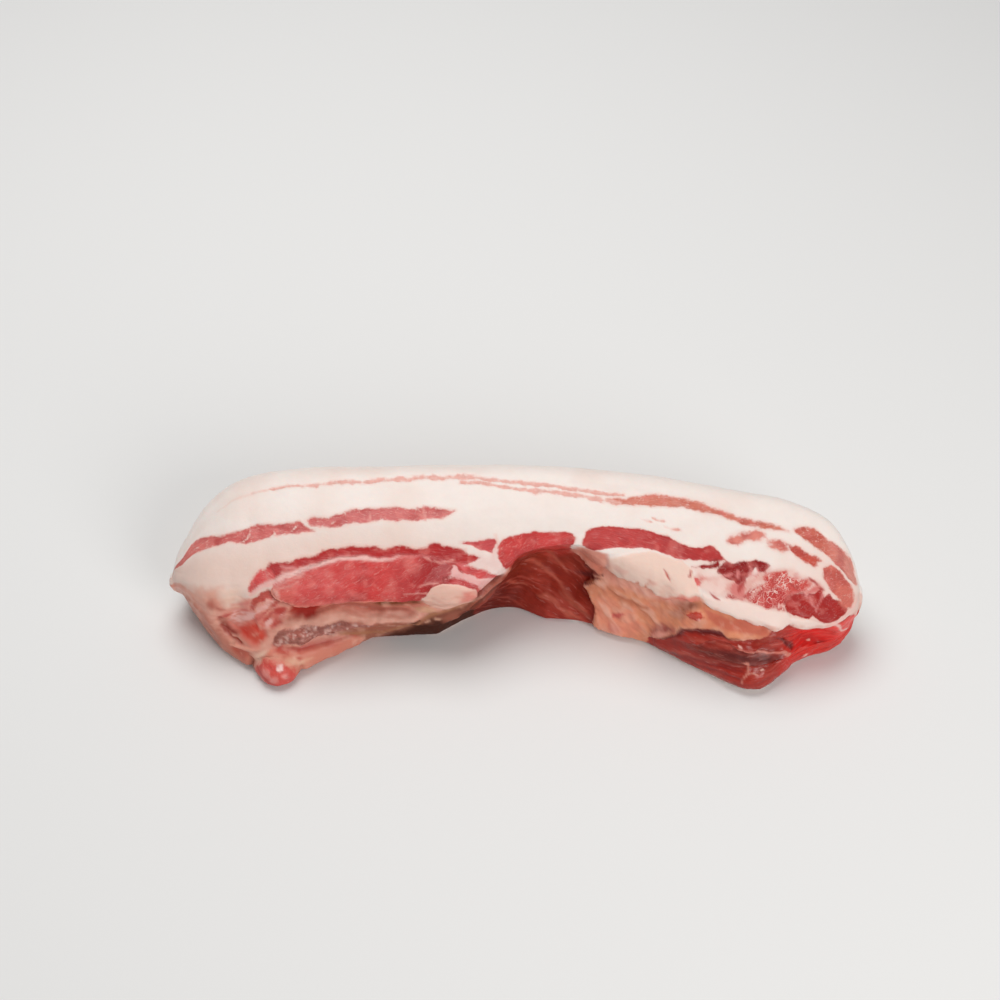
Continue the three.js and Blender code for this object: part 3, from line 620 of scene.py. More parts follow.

# ------------------------------------------------------------------------------------------
# Rib side
# Where the ribs were lifted out, membrane, thin fat and torn lean show: a wet ridge and lip on
# the left, a dark hollow in the middle, a sheet of soft fat, and the shank muscle on the right.
# Shade and a few highlights are painted into the colour here: in the hollow, under the flap, at the foot, in creases
# and the crevice, and on the ridge's specks.
# ------------------------------------------------------------------------------------------

# Stains, patches of painted shade, folds and grooves: red, green, blue, softness and height in millimetres, and
# outline.
STAINS = {
    "rib fat": (222, 160, 143, 0.8, 0, [
        (-132, 1.0), (-100, 1.02), (-60, 1.02), (-36, .98), (-30, 1.2), (-18, 1.2), (-10, 1.12),
        (-4, 1.0), (22, 1.1), (31, 1.2), (46, 1.17), (50, 1.15), (53, 1.16), (56, 1.02),
        (64, 1.0), (73, 1.1), (79, 1.03), (93, 1.07), (97, 1.0), (108, 1.05), (132, 1.15),
        (132, 2.1), (-132, 2.1)]),
    "marbled ground": (224, 172, 162, 2.5, 0, [
        (66, .80), (74, .77), (84, .70), (90, .66), (95, .60), (101, .60), (108, .64), (112, .69),
        (110, .73), (100, .80), (97, .86), (90, .84), (80, .88), (72, .91), (66, .90)]),
    "cluster ground": (216, 134, 126, 1.6, 0, [
        (90, .72), (94.5, .65), (99, .62), (105, .63), (110, .67), (112, .71), (108, .75),
        (101, .78), (98, .85), (90, .85), (87, .83), (92, .765), (95, .755)]),
    "beside the flap's tip": (228, 172, 168, 1.8, 0, [
        (-25, .78), (-22, .76), (-19, .80), (-14, .86), (-9, .95), (-6, 1.06), (-6, 1.12),
        (-12, 1.08), (-16, .96), (-20, .90), (-25, .88)]),
    "fat before the wedge": (232, 202, 196, 4, 0, [
        (-20, .74), (-13, .72), (-8, .76), (-4, .90), (-2, 1.0), (-6, 1.02), (-10, .88),
        (-16, .80)]),
    "left end": (226, 168, 150, 4, -.3, [
        (-121.9, 1.01), (-115, .94), (-108.9, .91), (-108.3, 1.0), (-109, 1.05), (-114, 1.07),
        (-118.8, 1.13), (-121, 1.09)]),
    "cream tongue": (236, 202, 186, 1.8, 0.3, [
        (-108.2, .93), (-101.5, .93), (-100.6, 1.03), (-102.5, 1.11), (-106, 1.12), (-108, 1.01)]),
    "mottled": (220, 128, 116, 2.2, -.6, [
        (-106.9, 1.25), (-102.7, 1.18), (-98.4, 1.16), (-94.8, 1.08), (-88.8, .99), (-83.8, 1.02),
        (-84.3, 1.27), (-86.5, 1.34), (-90.5, 1.41), (-92.1, 1.39), (-94.4, 1.30), (-97.3, 1.29),
        (-100.3, 1.37), (-104, 1.51), (-106.6, 1.41), (-109, 1.30)]),
    "mottled, red": (190, 78, 68, 1.2, -.2, [
        (-88.2, 1.15), (-86.9, 1.12), (-84.5, 1.08), (-84.3, 1.20), (-85.4, 1.26), (-87.3, 1.23)], [
        (-90.7, 1.20), (-89.6, 1.21), (-90.1, 1.28), (-91.7, 1.31), (-92.6, 1.27)], [
        (-89, 1.34), (-86.5, 1.30), (-85.6, 1.34), (-87.8, 1.37)], [
        (-91.2, 1.03), (-89, 1.01), (-87.4, 1.03), (-88.6, 1.12), (-90.8, 1.11)]),
    "mottled, pink": (214, 118, 110, 1.2, 0, [
        (-104.4, 1.09), (-101.7, 1.08), (-98.2, 1.03), (-98.2, 1.06), (-101.8, 1.11)], [
        (-102.7, 1.18), (-98.4, 1.12), (-97.4, 1.16), (-100.8, 1.24)]),
    # Rim: pink band round the left end, made darker partly as painted shade on the side turned from the light.
    "rim": (197, 124, 106, 1.5, 0.8, [
        (-127, 1.25), (-120, 1.1), (-114, 1.25), (-111, 1.45), (-107.5, 1.67), (-101.5, 1.77),
        (-97.5, 1.84), (-97.5, 2.1), (-127, 2.1)]),
    # Groove: its dark red-brown is partly painted shade in the groove.
    "groove": (146, 58, 48, 0.9, -0.9, [
        (-109.9, 1.28), (-108.2, 1.34), (-106.6, 1.42), (-104, 1.51), (-102.7, 1.59),
        (-103.5, 1.65), (-105.7, 1.65), (-107.6, 1.58), (-109.1, 1.51), (-110.1, 1.43)]),
    "second groove": (196, 96, 78, 0.8, -.7, [
        (-105.5, 1.83), (-102.8, 1.78), (-99.2, 1.78), (-99.1, 1.84), (-100.8, 1.90), (-103, 1.89),
        (-104.6, 1.88)]),
    "spot on the left": (188, 104, 88, 1.5, -0.1, [
        (-113.3, 1.07), (-111.5, 1.06), (-109.1, 1.09), (-107.3, 1.16), (-108.7, 1.16),
        (-111, 1.11), (-113, 1.09)]),
    "beside the dip": (222, 140, 124, 1.5, 0, [
        (-108, 1.2), (-104, 1.2), (-102, 1.46), (-99, 1.64), (-94, 1.66), (-96, 1.72), (-101, 1.66),
        (-105, 1.57), (-107, 1.4)]),
    "pale junction": (236, 196, 174, 1.4, 0.5, [
        (-96.8, 1.80), (-95.6, 1.74), (-93.9, 1.69), (-91.8, 1.68), (-90.6, 1.72), (-90.6, 1.77),
        (-92.5, 1.80), (-95, 1.84), (-96.8, 1.85)]),
    # Under the flap: pink band below the flap, darkened as painted shade under its rim.
    "under the flap": (205, 124, 106, 1.6, -.4, [
        (-82, 1.1), (-60, 1.06), (-36, 1.03), (-32, 1.25), (-38, 1.38), (-56, 1.36), (-72, 1.30),
        (-84, 1.33)]),
    "red dip": (216, 66, 50, 2.2, -1.1, [
        (-102.5, 1.47), (-99.9, 1.38), (-97.3, 1.31), (-95.2, 1.31), (-94.6, 1.37), (-93.1, 1.42),
        (-92.5, 1.49), (-93.3, 1.56), (-94.6, 1.60), (-96.5, 1.64), (-98.4, 1.63),
        (-100.5, 1.63), (-102.3, 1.60), (-103.3, 1.54)]),
    "crest": (227, 168, 149, 1.3, 0.8, [
        (-88.4, 1.40), (-84.9, 1.35), (-81.8, 1.32), (-77.3, 1.35), (-71.6, 1.31), (-66.9, 1.31),
        (-61.5, 1.36), (-56, 1.39), (-50.5, 1.40), (-44.9, 1.42), (-40.3, 1.44), (-35.6, 1.40),
        (-35, 1.44), (-40.3, 1.50), (-45, 1.50), (-52, 1.49), (-54.5, 1.53), (-57, 1.47),
        (-61.5, 1.45), (-69, 1.43), (-71, 1.47), (-76, 1.42), (-86, 1.43)]),
    "dark patch": (160, 40, 30, 1.3, -.5, [
        (-82.4, 1.20), (-81.5, 1.08), (-79.5, 1.04), (-74.6, 1.05), (-72, 1.12), (-72.3, 1.24),
        (-74.5, 1.33), (-77.8, 1.36), (-80.8, 1.30)]),
    "brown": (160, 96, 76, 1.0, 0, [
        (-70, 1.44), (-61.5, 1.47), (-57, 1.48), (-54.5, 1.54), (-52, 1.51), (-40.3, 1.52),
        (-35, 1.45), (-30.2, 1.38), (-24.5, 1.33), (-20, 1.29), (-14, 1.12), (-12, 1.4),
        (-20, 2.1), (-62, 2.1), (-64, 1.72), (-70, 1.68)]),
    "tan edge": (112, 54, 12, 1.6, 0, [
        (-54, 1.26), (-49.7, 1.06), (-44.3, 1.03), (-38.8, 1.01), (-35.3, 1.01), (-35.6, 1.22),
        (-40.3, 1.27), (-44.9, 1.28), (-50.5, 1.30)]),
    # Shaded foot: dark brown of the undercut foot, partly the meat's own dark colour and mostly painted shade.
    "shaded foot": (70, 28, 14, 3, 0, [
        (-50, 1.95), (-45.5, 1.84), (-39.7, 1.74), (-35, 1.52), (-30.2, 1.42), (-24.5, 1.37),
        (-20, 1.30), (-14, 1.16), (-10, 1.4), (-12, 2.1), (-50, 2.1)]),
    "foot, pink": (150, 86, 68, 2, 0.2, [
        (-29.5, 1.45), (-25.5, 1.40), (-20, 1.32), (-16.5, 1.27), (-17, 1.42), (-20.5, 1.62),
        (-24.5, 1.66), (-27, 1.54)]),
    "wall of the hollow": (148, 58, 42, 1.1, 0, [
        (-1, .99), (-4.5, 1.03), (-8, 1.07), (-11.4, 1.13), (-14, 1.21), (-17, 1.33),
        (-20, 1.5), (-22, 1.7), (-10, 1.7), (-5, 1.3), (0, 1.1)]),
    "lump": (233, 188, 172, 0.9, 0.8, [
        (-34, 1.08), (-32.8, .97), (-30.5, .93), (-27.6, .905), (-23.1, .90), (-18.6, .93),
        (-14.3, 1.0), (-13.2, 1.11), (-15.4, 1.18), (-20, 1.23), (-24.5, 1.32), (-27.9, 1.30),
        (-30.8, 1.25)]),
    "lump, pink side": (226, 140, 128, 1.8, 0, [
        (-19.5, .97), (-15.5, 1.0), (-14, 1.09), (-15.5, 1.14), (-19.5, 1.15)]),
    "crumbs": (214, 160, 130, 0.6, 0.5, [
        (-37.5, 1.32), (-35, 1.27), (-32, 1.24), (-30, 1.30), (-29, 1.34), (-31.8, 1.37),
        (-35.6, 1.38)]),
    "lip": (214, 132, 112, 0.9, 0.6, [
        (-91.5, 1.66), (-85.2, 1.68), (-76.8, 1.74), (-68.2, 1.76), (-60.2, 1.80), (-57, 1.9),
        (-60, 2.1), (-95, 2.1), (-94, 1.8)]),
    "lip, pale patch": (226, 172, 146, 1.4, 0, [
        (-84.8, 1.80), (-84, 1.76), (-81.5, 1.76), (-79, 1.82), (-76, 1.86), (-79, 1.90),
        (-83, 1.85)]),
    "lip, red": (192, 72, 62, 2, -.7, [
        (-91, 1.62), (-88.4, 1.61), (-85.6, 1.61), (-81.6, 1.66), (-77.1, 1.69), (-70, 1.71),
        (-62, 1.76), (-60, 1.80), (-68, 1.78), (-76, 1.75), (-84, 1.72), (-89, 1.70)]),
    "lip, spot": (190, 82, 64, 0.7, -.3, [
        (-82, 1.75), (-80.2, 1.78), (-78.7, 1.82), (-79.7, 1.84), (-81.3, 1.80)]),
    "fat face": (229, 148, 112, 1.0, 0, [
        (25.4, 1.504), (28.4, 1.495), (27.1, 1.588), (27.7, 1.655), (28.7, 1.70), (30, 1.784),
        (29.4, 1.873), (29, 2.1), (56, 2.1), (70, 1.5), (92, 1.2), (93, 1.09), (79, 1.03),
        (67.6, 1.0), (55.6, 1.02), (53, 1.16), (50, 1.12), (44.5, 1.15), (35.4, 1.21),
        (31, 1.22)]),
    "fat face, pink": (236, 150, 122, 2.5, 0.4, [
        (30, 1.62), (36, 1.55), (44, 1.6), (48, 1.75), (44, 2.0), (30, 2.0)]),
    "fat face, red": (205, 96, 84, 1.6, 0, [
        (34.8, 1.93), (36, 1.87), (38.6, 1.85), (41, 1.89), (38, 1.95)]),
    "below the edge": (238, 172, 152, 1.2, -0.5, [
        (32, 1.24), (38, 1.22), (45, 1.17), (51, 1.2), (55, 1.08), (62, 1.04), (66, 1.1), (58, 1.24),
        (50, 1.34), (40, 1.36), (33, 1.36)]),
    # Painted brown shade round the upper left of the gland.
    "shade beside the gland": (152, 84, 62, 2.6, -.2, [
        (59.2, 1.26), (59.7, 1.16), (62.3, 1.08), (66.7, 1.04), (68.1, 1.09), (65.9, 1.13),
        (62.2, 1.18), (61, 1.26), (60.2, 1.35), (58.4, 1.38)]),
    "white sheet": (235, 204, 190, 0.5, 0.5, [
        (34, .97), (37, .92), (42, .83), (49, .76), (60, .75), (64, .80), (66, .95), (68, 1.04),
        (66.7, .995), (63.6, 1.0), (58.9, 1.05), (56.7, 1.08), (52.6, 1.18), (51.2, 1.20),
        (50.3, 1.17), (50.3, 1.10), (48.6, 1.10), (46.5, 1.14), (45.4, 1.11), (43.9, 1.15),
        (42.4, 1.13), (40.3, 1.20), (38.5, 1.21), (36.9, 1.24), (35.7, 1.18), (33.8, 1.16)]),
    "left of the sheet": (220, 146, 128, 1.6, 0, [
        (23, 1.0), (26, .96), (30, .93), (33, .93), (34.5, 1.08), (33, 1.2), (29, 1.3),
        (22, 1.2)]),
    "beside the hollow": (224, 138, 116, 1.6, 0, [
        (24, 1.22), (27, 1.14), (31, 1.15), (33, 1.23), (32, 1.32), (28, 1.33), (25.5, 1.29)]),
    "below the sheet": (222, 128, 114, 0.8, 0, [
        (51.4, 1.22), (56.7, 1.09), (60.5, 1.02), (65.2, 1.0), (67.6, 1.01), (66.2, 1.05),
        (62.3, 1.08), (57.8, 1.13), (54, 1.22)]),
    "shelf": (238, 214, 205, 0.5, 0.5, [
        (67.6, .966), (69.8, .957), (73.4, .93), (77.8, .899), (83.1, .875), (85.6, .885),
        (89.5, .895), (95.5, .89), (97.9, .903), (99, .94), (103.1, .95), (108.1, .96),
        (113.2, 1.0), (114, 1.05), (110.9, 1.10), (106.3, 1.08), (102.4, 1.02), (99.8, .99),
        (98.2, 1.01), (96.7, 1.04), (95, 1.08), (93.2, 1.06), (89.5, 1.01), (84.8, 1.0),
        (80.2, 1.014), (75.8, 1.06), (72.4, 1.06), (69.6, 1.04), (67.9, 1.01)]),
    "under the shelf": (212, 114, 90, 1.0, 0, [
        (68, 1.1), (72.4, 1.12), (78.3, 1.11), (84, 1.05), (89.7, 1.05), (93.2, 1.08),
        (90, 1.16), (84, 1.24), (76, 1.27), (70, 1.25)]),
    "bruise": (158, 74, 66, 1.2, -.4, [
        (50.5, 1.74), (52.3, 1.655), (55, 1.58), (58, 1.55), (59.8, 1.58), (57, 1.68),
        (53.4, 1.76), (50.6, 1.81)]),
}

# Lean of the rib side, in the same way.
RIB_LEAN = {
    "wet ridge": (168, 104, 92, 0.2, 0, 0.8, 1.4, 0.5, [
        (-91, 1.62), (-89.4, 1.50), (-86.9, 1.43), (-82.2, 1.42), (-76.6, 1.435), (-70.8, 1.44),
        (-65.6, 1.445), (-61.5, 1.47), (-57, 1.50), (-53, 1.54), (-56, 1.60), (-62, 1.66),
        (-66.7, 1.67), (-71.1, 1.665), (-75.8, 1.65), (-79.5, 1.60), (-83.6, 1.60),
        (-88, 1.64)]),
    "knob": (212, 82, 74, 0.2, 0.3, 1, 1.4, 0.2, [
        (-97, 1.92), (-95.4, 1.87), (-93.7, 1.83), (-91.5, 1.80), (-88.6, 1.795), (-85.4, 1.81),
        (-83.4, 1.84), (-82.2, 1.88), (-81.1, 1.97), (-81.5, 2.1), (-97, 2.1)]),
    "hollow": (148, 36, 14, 0.1, 0.5, 0.15, 1.2, 0, [
        (5.5, .88), (7, .96), (8.9, 1.07), (11.3, 1.22), (14, 1.26), (18.8, 1.25), (21.8, 1.25),
        (25.1, 1.30), (27.1, 1.34), (29.4, 1.36), (29.6, 1.40), (27.6, 1.47), (26, 1.54), (27.1, 1.588), (27.7, 1.655),
        (28.7, 1.70), (30, 1.784), (29.4, 1.873), (29, 2.1), (-12, 2.1), (-16, 1.9), (-14, 1.6),
        (-9, 1.30), (-6, 1.16), (-1.5, 1.09), (1.4, .99)]),
    "gland": (196, 62, 44, 0.1, 0, 1, 1.8, 0, [
        (61.6, 1.27), (62.9, 1.197), (65.7, 1.15), (67.9, 1.167), (68.6, 1.237), (67.2, 1.30),
        (63.6, 1.33)]),
    "shank": (166, 42, 29, 0.1, -0.2, 0.2, 1, 0, [
        (50, 1.83), (53.7, 1.846), (58.4, 1.655), (61.6, 1.508), (66.2, 1.43), (70.5, 1.37),
        (73.8, 1.33), (76.1, 1.32), (77.8, 1.36), (79.6, 1.36), (84.2, 1.30), (88.1, 1.22),
        (90.8, 1.15), (92.1, 1.09), (93.5, 1.04), (95.5, 1.01), (97.5, .995), (100.6, 1.0),
        (104.7, 1.05), (108.5, 1.07), (112, 1.05), (115, 1.04), (117.5, 1.02), (120, 1.0),
        (123, 1.0), (125, 1.02), (126.6, 1.1), (127.8, 1.3), (132, 1.4), (132, 2.1), (48, 2.1)]),
}

# Lines and dots on the rib side, some of them painted shade, shadow or highlights: red, green, blue, softness, height,
# and x, girth, half width.
MARKS = {
    "seam over the flap": (232, 180, 173, 0.8, 0, [
        (-97.4, .98, .3), (-94.8, .925, .7), (-92.5, .885, .95), (-90, .855, 1.1),
        (-87.5, .828, 1.15), (-85, .81, 1.1), (-82, .792, 1.0), (-79, .772, .9), (-76, .753, .8),
        (-73, .738, .6), (-70, .726, .5), (-66, .718, .5), (-59, .712, .5), (-50, .712, .45),
        (-45.2, .716, .35), (-43, .70, .1)]),
    "faint start of the thin streak": (234, 206, 196, 0.9, 0, [
        (-112, .23, .1), (-106, .21, .25), (-99, .197, .3), (-94, .19, .2)]),
    "threads beside the seam": (218, 138, 130, 0.6, 0, [
        (-88.5, .868, .6), (-85, .845, .4), (-81, .825, .3), (-78, .80, .2)], [
        (-87.2, .885, .3), (-83.5, .865, .25), (-80, .85, .15)], [
        (-78.3, .745, .1), (-80.6, .76, .25), (-83.4, .772, .3), (-85.8, .775, .1)]),
    "pale flecks on the flap": (224, 146, 138, 0.6, 0, [
        (-34, .71, .1), (-32.8, .72, .4), (-31.6, .735, .1)], [
        (-30.5, .735, .1), (-27.6, .752, .3), (-25.2, .747, .25), (-22.8, .745, .4)], [
        (-35.5, .89, .1), (-32, .885, .4), (-28, .895, .1)], [
        (-41, .945, .1), (-37, .94, .3), (-33, .955, .3)], [
        (-34, .385, .2), (-33.8, .43, .3), (-33.6, .47, .2)], [
        (-53.7, .43, .1), (-54, .47, .3)]),
    "pink streak in the seam": (206, 104, 102, 0.5, 0, [
        (-89, .862, .1), (-86.9, .842, .35), (-84.5, .828, .3), (-82, .815, .1)]),
    "flap's tip": (228, 158, 146, 0.9, 0.15, [
        (-88.6, .90, .5), (-87.4, .915, .9), (-86.6, .945, .6), (-86.4, .965, .2)]),
    "shadow under the flap": (172, 72, 62, 0.9, -.2, [
        (-90.3, .92, .2), (-89.6, .965, .3), (-88, 1.0, .4), (-85.4, 1.02, .4), (-82, 1.05, .5),
        (-76, 1.085, .5), (-60, 1.09, .4), (-45, 1.07, .4)]),
    "flap's rim": (240, 152, 134, 0.5, 0.3, [
        (-89.5, .905, .2), (-88.9, .945, .3), (-87.6, .96, .3), (-85.6, .975, .3),
        (-83.2, .995, .3), (-80, 1.02, .3), (-72, 1.037, .25), (-60, 1.042, .25),
        (-45, 1.042, .2)]),
    "tufts of fat": (218, 130, 126, 0.7, 0, [
        (-92.2, .77, .1), (-91.2, .80, .25), (-90.2, .83, .2)], [
        (-86.4, .735, .1), (-84.4, .745, .35), (-81.4, .745, .1)], [
        (81.1, .69, .2), (81.3, .71, .4), (80.8, .73, .3)], [
        (85.6, .63, .1), (86, .65, .25), (85.2, .69, .2)], [
        (87.7, .60, .1), (88.1, .62, .2), (88.5, .65, .2)], [
        (75.4, .77, .1), (77.8, .75, .25), (78.9, .73, .1)], [
        (105.6, .75, .3), (105.7, .78, .3)], [
        (107.3, .77, .2), (107.6, .81, .25), (108.8, .845, .1)], [
        (112.7, .75, .2), (111.7, .80, .25), (110.2, .85, .2), (109.5, .885, .1)]),
    "branches at the end": (238, 190, 182, 0.5, 0.15, [
        (113.6, 1.01, .6), (116.5, 1.0, .6), (119.5, .975, .55), (122.5, .95, .5),
        (125.2, .915, .4), (126.6, .85, .2)], [
        (115.6, 1.01, .5), (119, 1.09, .5), (121.7, 1.25, .45), (124.2, 1.42, .5)]),
    "red lines in the fat": (176, 70, 66, 0.5, -.1, [
        (83.5, .73, .4), (82.5, .77, .5), (81.7, .80, .45), (81.1, .83, .2)], [
        (70.8, .92, .2), (72.2, .93, .35), (73.4, .93, .3)], [
        (63.4, .81, .3), (63.1, .85, .3)], [
        (107.5, .63, .2), (108.9, .65, .4), (110.2, .67, .3)], [
        (111.3, .69, .3), (112.4, .705, .4)], [
        (100, .70, .3), (102, .72, .3), (103, .70, .2)]),
    "fold beside the groove": (236, 166, 146, 0.5, 0.7, [
        (-105.5, 1.78, .2), (-102.2, 1.77, .5), (-98.7, 1.74, .5), (-95.6, 1.69, .3)]),
    "line along the groove": (160, 64, 52, 0.6, -.6, [
        (-109.8, 1.47, .2), (-107.6, 1.60, .4), (-105.4, 1.69, .5), (-102, 1.71, .3)]),
    "knob's notch": (190, 110, 90, 1.0, -1.8, [(-98.2, 1.86, .5), (-98.4, 2.0, 1.0)]),
    "knob's right notch": (200, 120, 100, 1.0, -1.0, [(-79.5, 1.9, .4), (-80.5, 2.0, .9)]),
    # Painted highlight on the knob, set as a raised near-white dot.
    "knob's highlight": (250, 216, 210, 0.4, 0.3, [(-87.3, 1.83, .6), (-86.2, 1.832, .6)]),
    "knob's pale spots": (230, 146, 138, 0.7, 0, [
        (-92.6, 1.88, .3), (-91.4, 1.885, .4)], [(-90, 1.92, .3), (-88.4, 1.92, .4)], [
        (-94.4, 1.95, .3), (-93.4, 1.95, .3)], [(-85.4, 1.90, .2), (-84.6, 1.905, .3)]),
    "crest's shadow": (176, 96, 80, 0.8, -.5, [
        (-74, 1.28, .2), (-66, 1.25, .6), (-56, 1.30, .7), (-46, 1.34, .5), (-40, 1.36, .2)]),
    "golden line": (170, 112, 80, 1.4, 0.2, [
        (-66, 1.70, .2), (-62.1, 1.75, .3), (-55.7, 1.83, .4), (-50.8, 1.87, .4), (-45.5, 1.78, .4),
        (-39.7, 1.68, .4), (-34.7, 1.47, .4), (-30.2, 1.39, .4), (-24.5, 1.34, .4),
        (-20.3, 1.27, .4), (-15, 1.13, .3)]),
    # Painted shade in the crease under the wet ridge.
    "shade in the crease under the ridge": (104, 58, 42, 0.7, -.5, [
        (-60, 1.62, .2), (-52, 1.68, .5), (-46, 1.66, .5), (-40, 1.60, .5), (-36, 1.50, .3)]),
    "crumbs below": (208, 156, 132, 0.9, 0.2, [
        (-38.4, 1.68, .3), (-37.2, 1.69, .9), (-35.6, 1.69, .6)], [
        (-33.9, 1.53, .3), (-32.6, 1.50, .4)], [(-29.4, 1.47, .3), (-28.4, 1.48, .4)]),
    "membrane": (174, 94, 74, 0.8, 1.0, [
        (-2.4, 1.02, .3), (-5, 1.035, .4), (-8.5, 1.075, .45), (-12, 1.13, .45),
        (-15, 1.22, .45), (-18, 1.37, .4)]),
    "membrane's shade": (112, 50, 36, 1.6, -.3, [
        (-4, 1.17, .3), (-8, 1.18, .8), (-12, 1.22, 1.2), (-16, 1.36, 1.6), (-20, 1.5, 1.6)]),
    # Painted shade in the crease beside the raised membrane.
    "shade in the membrane's crease": (128, 56, 42, 0.6, -.6, [
        (-5.4, 1.02, .2), (-7.6, 1.03, .5), (-10.4, 1.05, .5), (-13.0, 1.09, .4),
        (-15.2, 1.16, .2)]),
    "lip of the hollow": (172, 48, 38, 2.2, 0, [
        (2, 1.0, 1), (5, .95, 1.2), (8, 1.1, 1.2), (12, 1.25, 1.4), (16, 1.27, 1.4),
        (20, 1.25, 1)]),
    "fibres of the hollow": (178, 84, 66, 0.8, 0.25, [
        (4, 1.27, .1), (9.6, 1.40, .4), (13.7, 1.53, .4), (16.4, 1.62, .4), (19.8, 1.72, .5),
        (22.8, 1.79, .5), (26, 1.87, .3)], [
        (7.2, 1.74, .1), (11.3, 1.75, .5), (14.7, 1.81, .6), (17.1, 1.86, .5), (20.4, 1.91, .5),
        (23.8, 1.95, .3)], [
        (17, 1.72, .1), (21.4, 1.80, .5), (24.4, 1.86, .5), (28, 1.93, .3)], [
        (-2.8, 1.42, .4), (1.0, 1.61, .4), (4.5, 1.66, .1)], [
        (9, 1.2, .1), (13, 1.28, .3), (17, 1.40, .3), (20, 1.52, .1)]),
    "clots": (112, 32, 28, 0.6, -.2, [
        (22.6, 1.49, .1), (25.2, 1.46, .35), (28.6, 1.43, .3)], [
        (26, 1.43, .1), (28.4, 1.405, .3), (31, 1.375, .3), (33.2, 1.345, .1)], [
        (28, 1.36, .2), (30.4, 1.335, .35), (33, 1.31, .1)]),
    "clots, low": (118, 36, 30, 0.5, -.2, [(25.6, 1.53, .1), (27.6, 1.50, .35), (29.6, 1.47, .2)]),
    "clots, high": (120, 40, 32, 0.6, -0.1, [(26, 1.36, .2), (28, 1.35, .5), (29.4, 1.33, .2)]),
    "face groove": (202, 122, 92, 1.3, -.5, [
        (34.8, 1.45, .3), (37.6, 1.49, .7), (41.2, 1.50, .8), (44.5, 1.51, .7), (48.6, 1.48, .3)]),
    "face mark": (204, 92, 84, 0.7, 0, [(37.6, 1.76, .3), (39.4, 1.74, .6), (41.5, 1.70, .2)]),
    "tears of the sheet": (212, 136, 114, 0.5, -0.2, [
        (33.6, 1.21, .6), (34.2, 1.15, .1)], [(35.9, 1.25, .7), (36.6, 1.17, .1)], [
        (38.6, 1.24, .5), (39.6, 1.15, .1)], [(41.2, 1.21, .6), (41.8, 1.13, .1)], [
        (44.1, 1.18, .6), (45, 1.08, .1)], [(47, 1.16, .7), (48.2, 1.05, .1)]),
    "sheet's slit": (196, 100, 92, 0.5, -.5, [(53.6, .88, .1), (54.6, .91, .4), (56, .95, .1)]),
    # Painted shadow on the lean below the overhanging torn edge of the fat cover.
    "shadow under the fat's torn edge": (104, 20, 18, 0.8, -.4, [
        (50.5, 1.85, .2), (53.1, 1.81, .3), (56.4, 1.74, .3), (59.7, 1.61, .3), (61.3, 1.51, .4),
        (63.6, 1.475, .5), (67.2, 1.435, .5), (70.8, 1.39, .5), (74.9, 1.335, .5),
        (76.3, 1.34, .4), (77.5, 1.36, .3), (82, 1.33, .1)]),
    "torn white": (222, 150, 134, 0.5, 0.4, [(51.5, 1.77, .4), (54.5, 1.72, .5), (57, 1.66, .2)]),
    "silverskin": (118, 50, 44, 3, -0.15, [
        (64, 1.71, .6), (68, 1.68, 1.6), (74, 1.65, 2.2), (80, 1.60, 2.2), (86, 1.53, 1.8),
        (92, 1.52, 1.2), (96.5, 1.545, .5)]),
    "silverskin, dark": (94, 32, 30, 1.8, -0.15, [
        (74, 1.57, .2), (78, 1.55, .6), (82, 1.53, .8), (87, 1.51, .8), (92.6, 1.515, .5)]),
    "shank lines, light": (178, 76, 62, 0.9, 0.1, [
        (56.5, 1.94, .2), (62.6, 1.86, .4), (67.9, 1.82, .4), (73.4, 1.78, .2)], [
        (63.9, 1.56, .1), (69.1, 1.51, .3), (74.5, 1.50, .35), (79.4, 1.46, .3), (82.5, 1.44, .3)], [
        (87.9, 1.30, .2), (90.6, 1.20, .3), (92.5, 1.12, .2)]),
    "shank lines, dark": (136, 34, 30, 0.9, -0.15, [
        (55.9, 1.96, .2), (61, 1.91, .4), (66.4, 1.86, .4), (71.3, 1.83, .4), (77, 1.78, .4),
        (81.7, 1.75, .2)], [
        (58.6, 1.95, .2), (64.6, 1.92, .4), (71.5, 1.89, .4), (77.6, 1.87, .4), (81.9, 1.87, .2)]),
    # Pale lip along the top of the silverskin, partly a painted highlight.
    "silver edge and its highlight": (220, 134, 118, 0.5, 0.3, [
        (80.5, 1.45, .1), (82.5, 1.44, .2), (85.8, 1.43, .35), (88.9, 1.45, .2), (92.6, 1.46, .25),
        (96.5, 1.48, .4), (98.5, 1.51, .7), (100, 1.56, .9)]),
    "tag": (212, 132, 116, 0.5, 0.25, [
        (82.4, 1.60, .3), (83.8, 1.585, .55), (84.2, 1.64, .45), (84.3, 1.70, .35), (84, 1.77, .3),
        (82.9, 1.84, .2), (82.7, 1.91, .2)], [(84.2, 1.77, .2), (86.4, 1.75, .2), (88, 1.77, .1)]),
    # Painted shade down the deep crevice.
    "shade in the crevice": (104, 14, 14, 1.0, -.5, [
        (95.5, 1.17, .1), (98.2, 1.30, .35), (100, 1.41, .5), (101.2, 1.47, .45)], [
        (97.4, 1.25, .1), (101.3, 1.40, .35), (101.7, 1.49, .3)]),
    "red pool": (196, 26, 20, 2.6, -0.6, [
        (102.8, 1.34, .8), (108.8, 1.48, 1.8), (112.3, 1.56, 1.2)]),
    "glints": (248, 190, 176, 0.3, 0.3, [(81.1, 1.41, .35), (81.5, 1.41, .35)], [
        (89.5, 1.70, .25), (89.9, 1.70, .25)], [(108, 1.89, .4), (108.4, 1.88, .4)], [
        (108.3, 1.51, .3), (108.7, 1.51, .3)], [(66.7, 1.285, .5), (66.3, 1.295, .4)]),
}

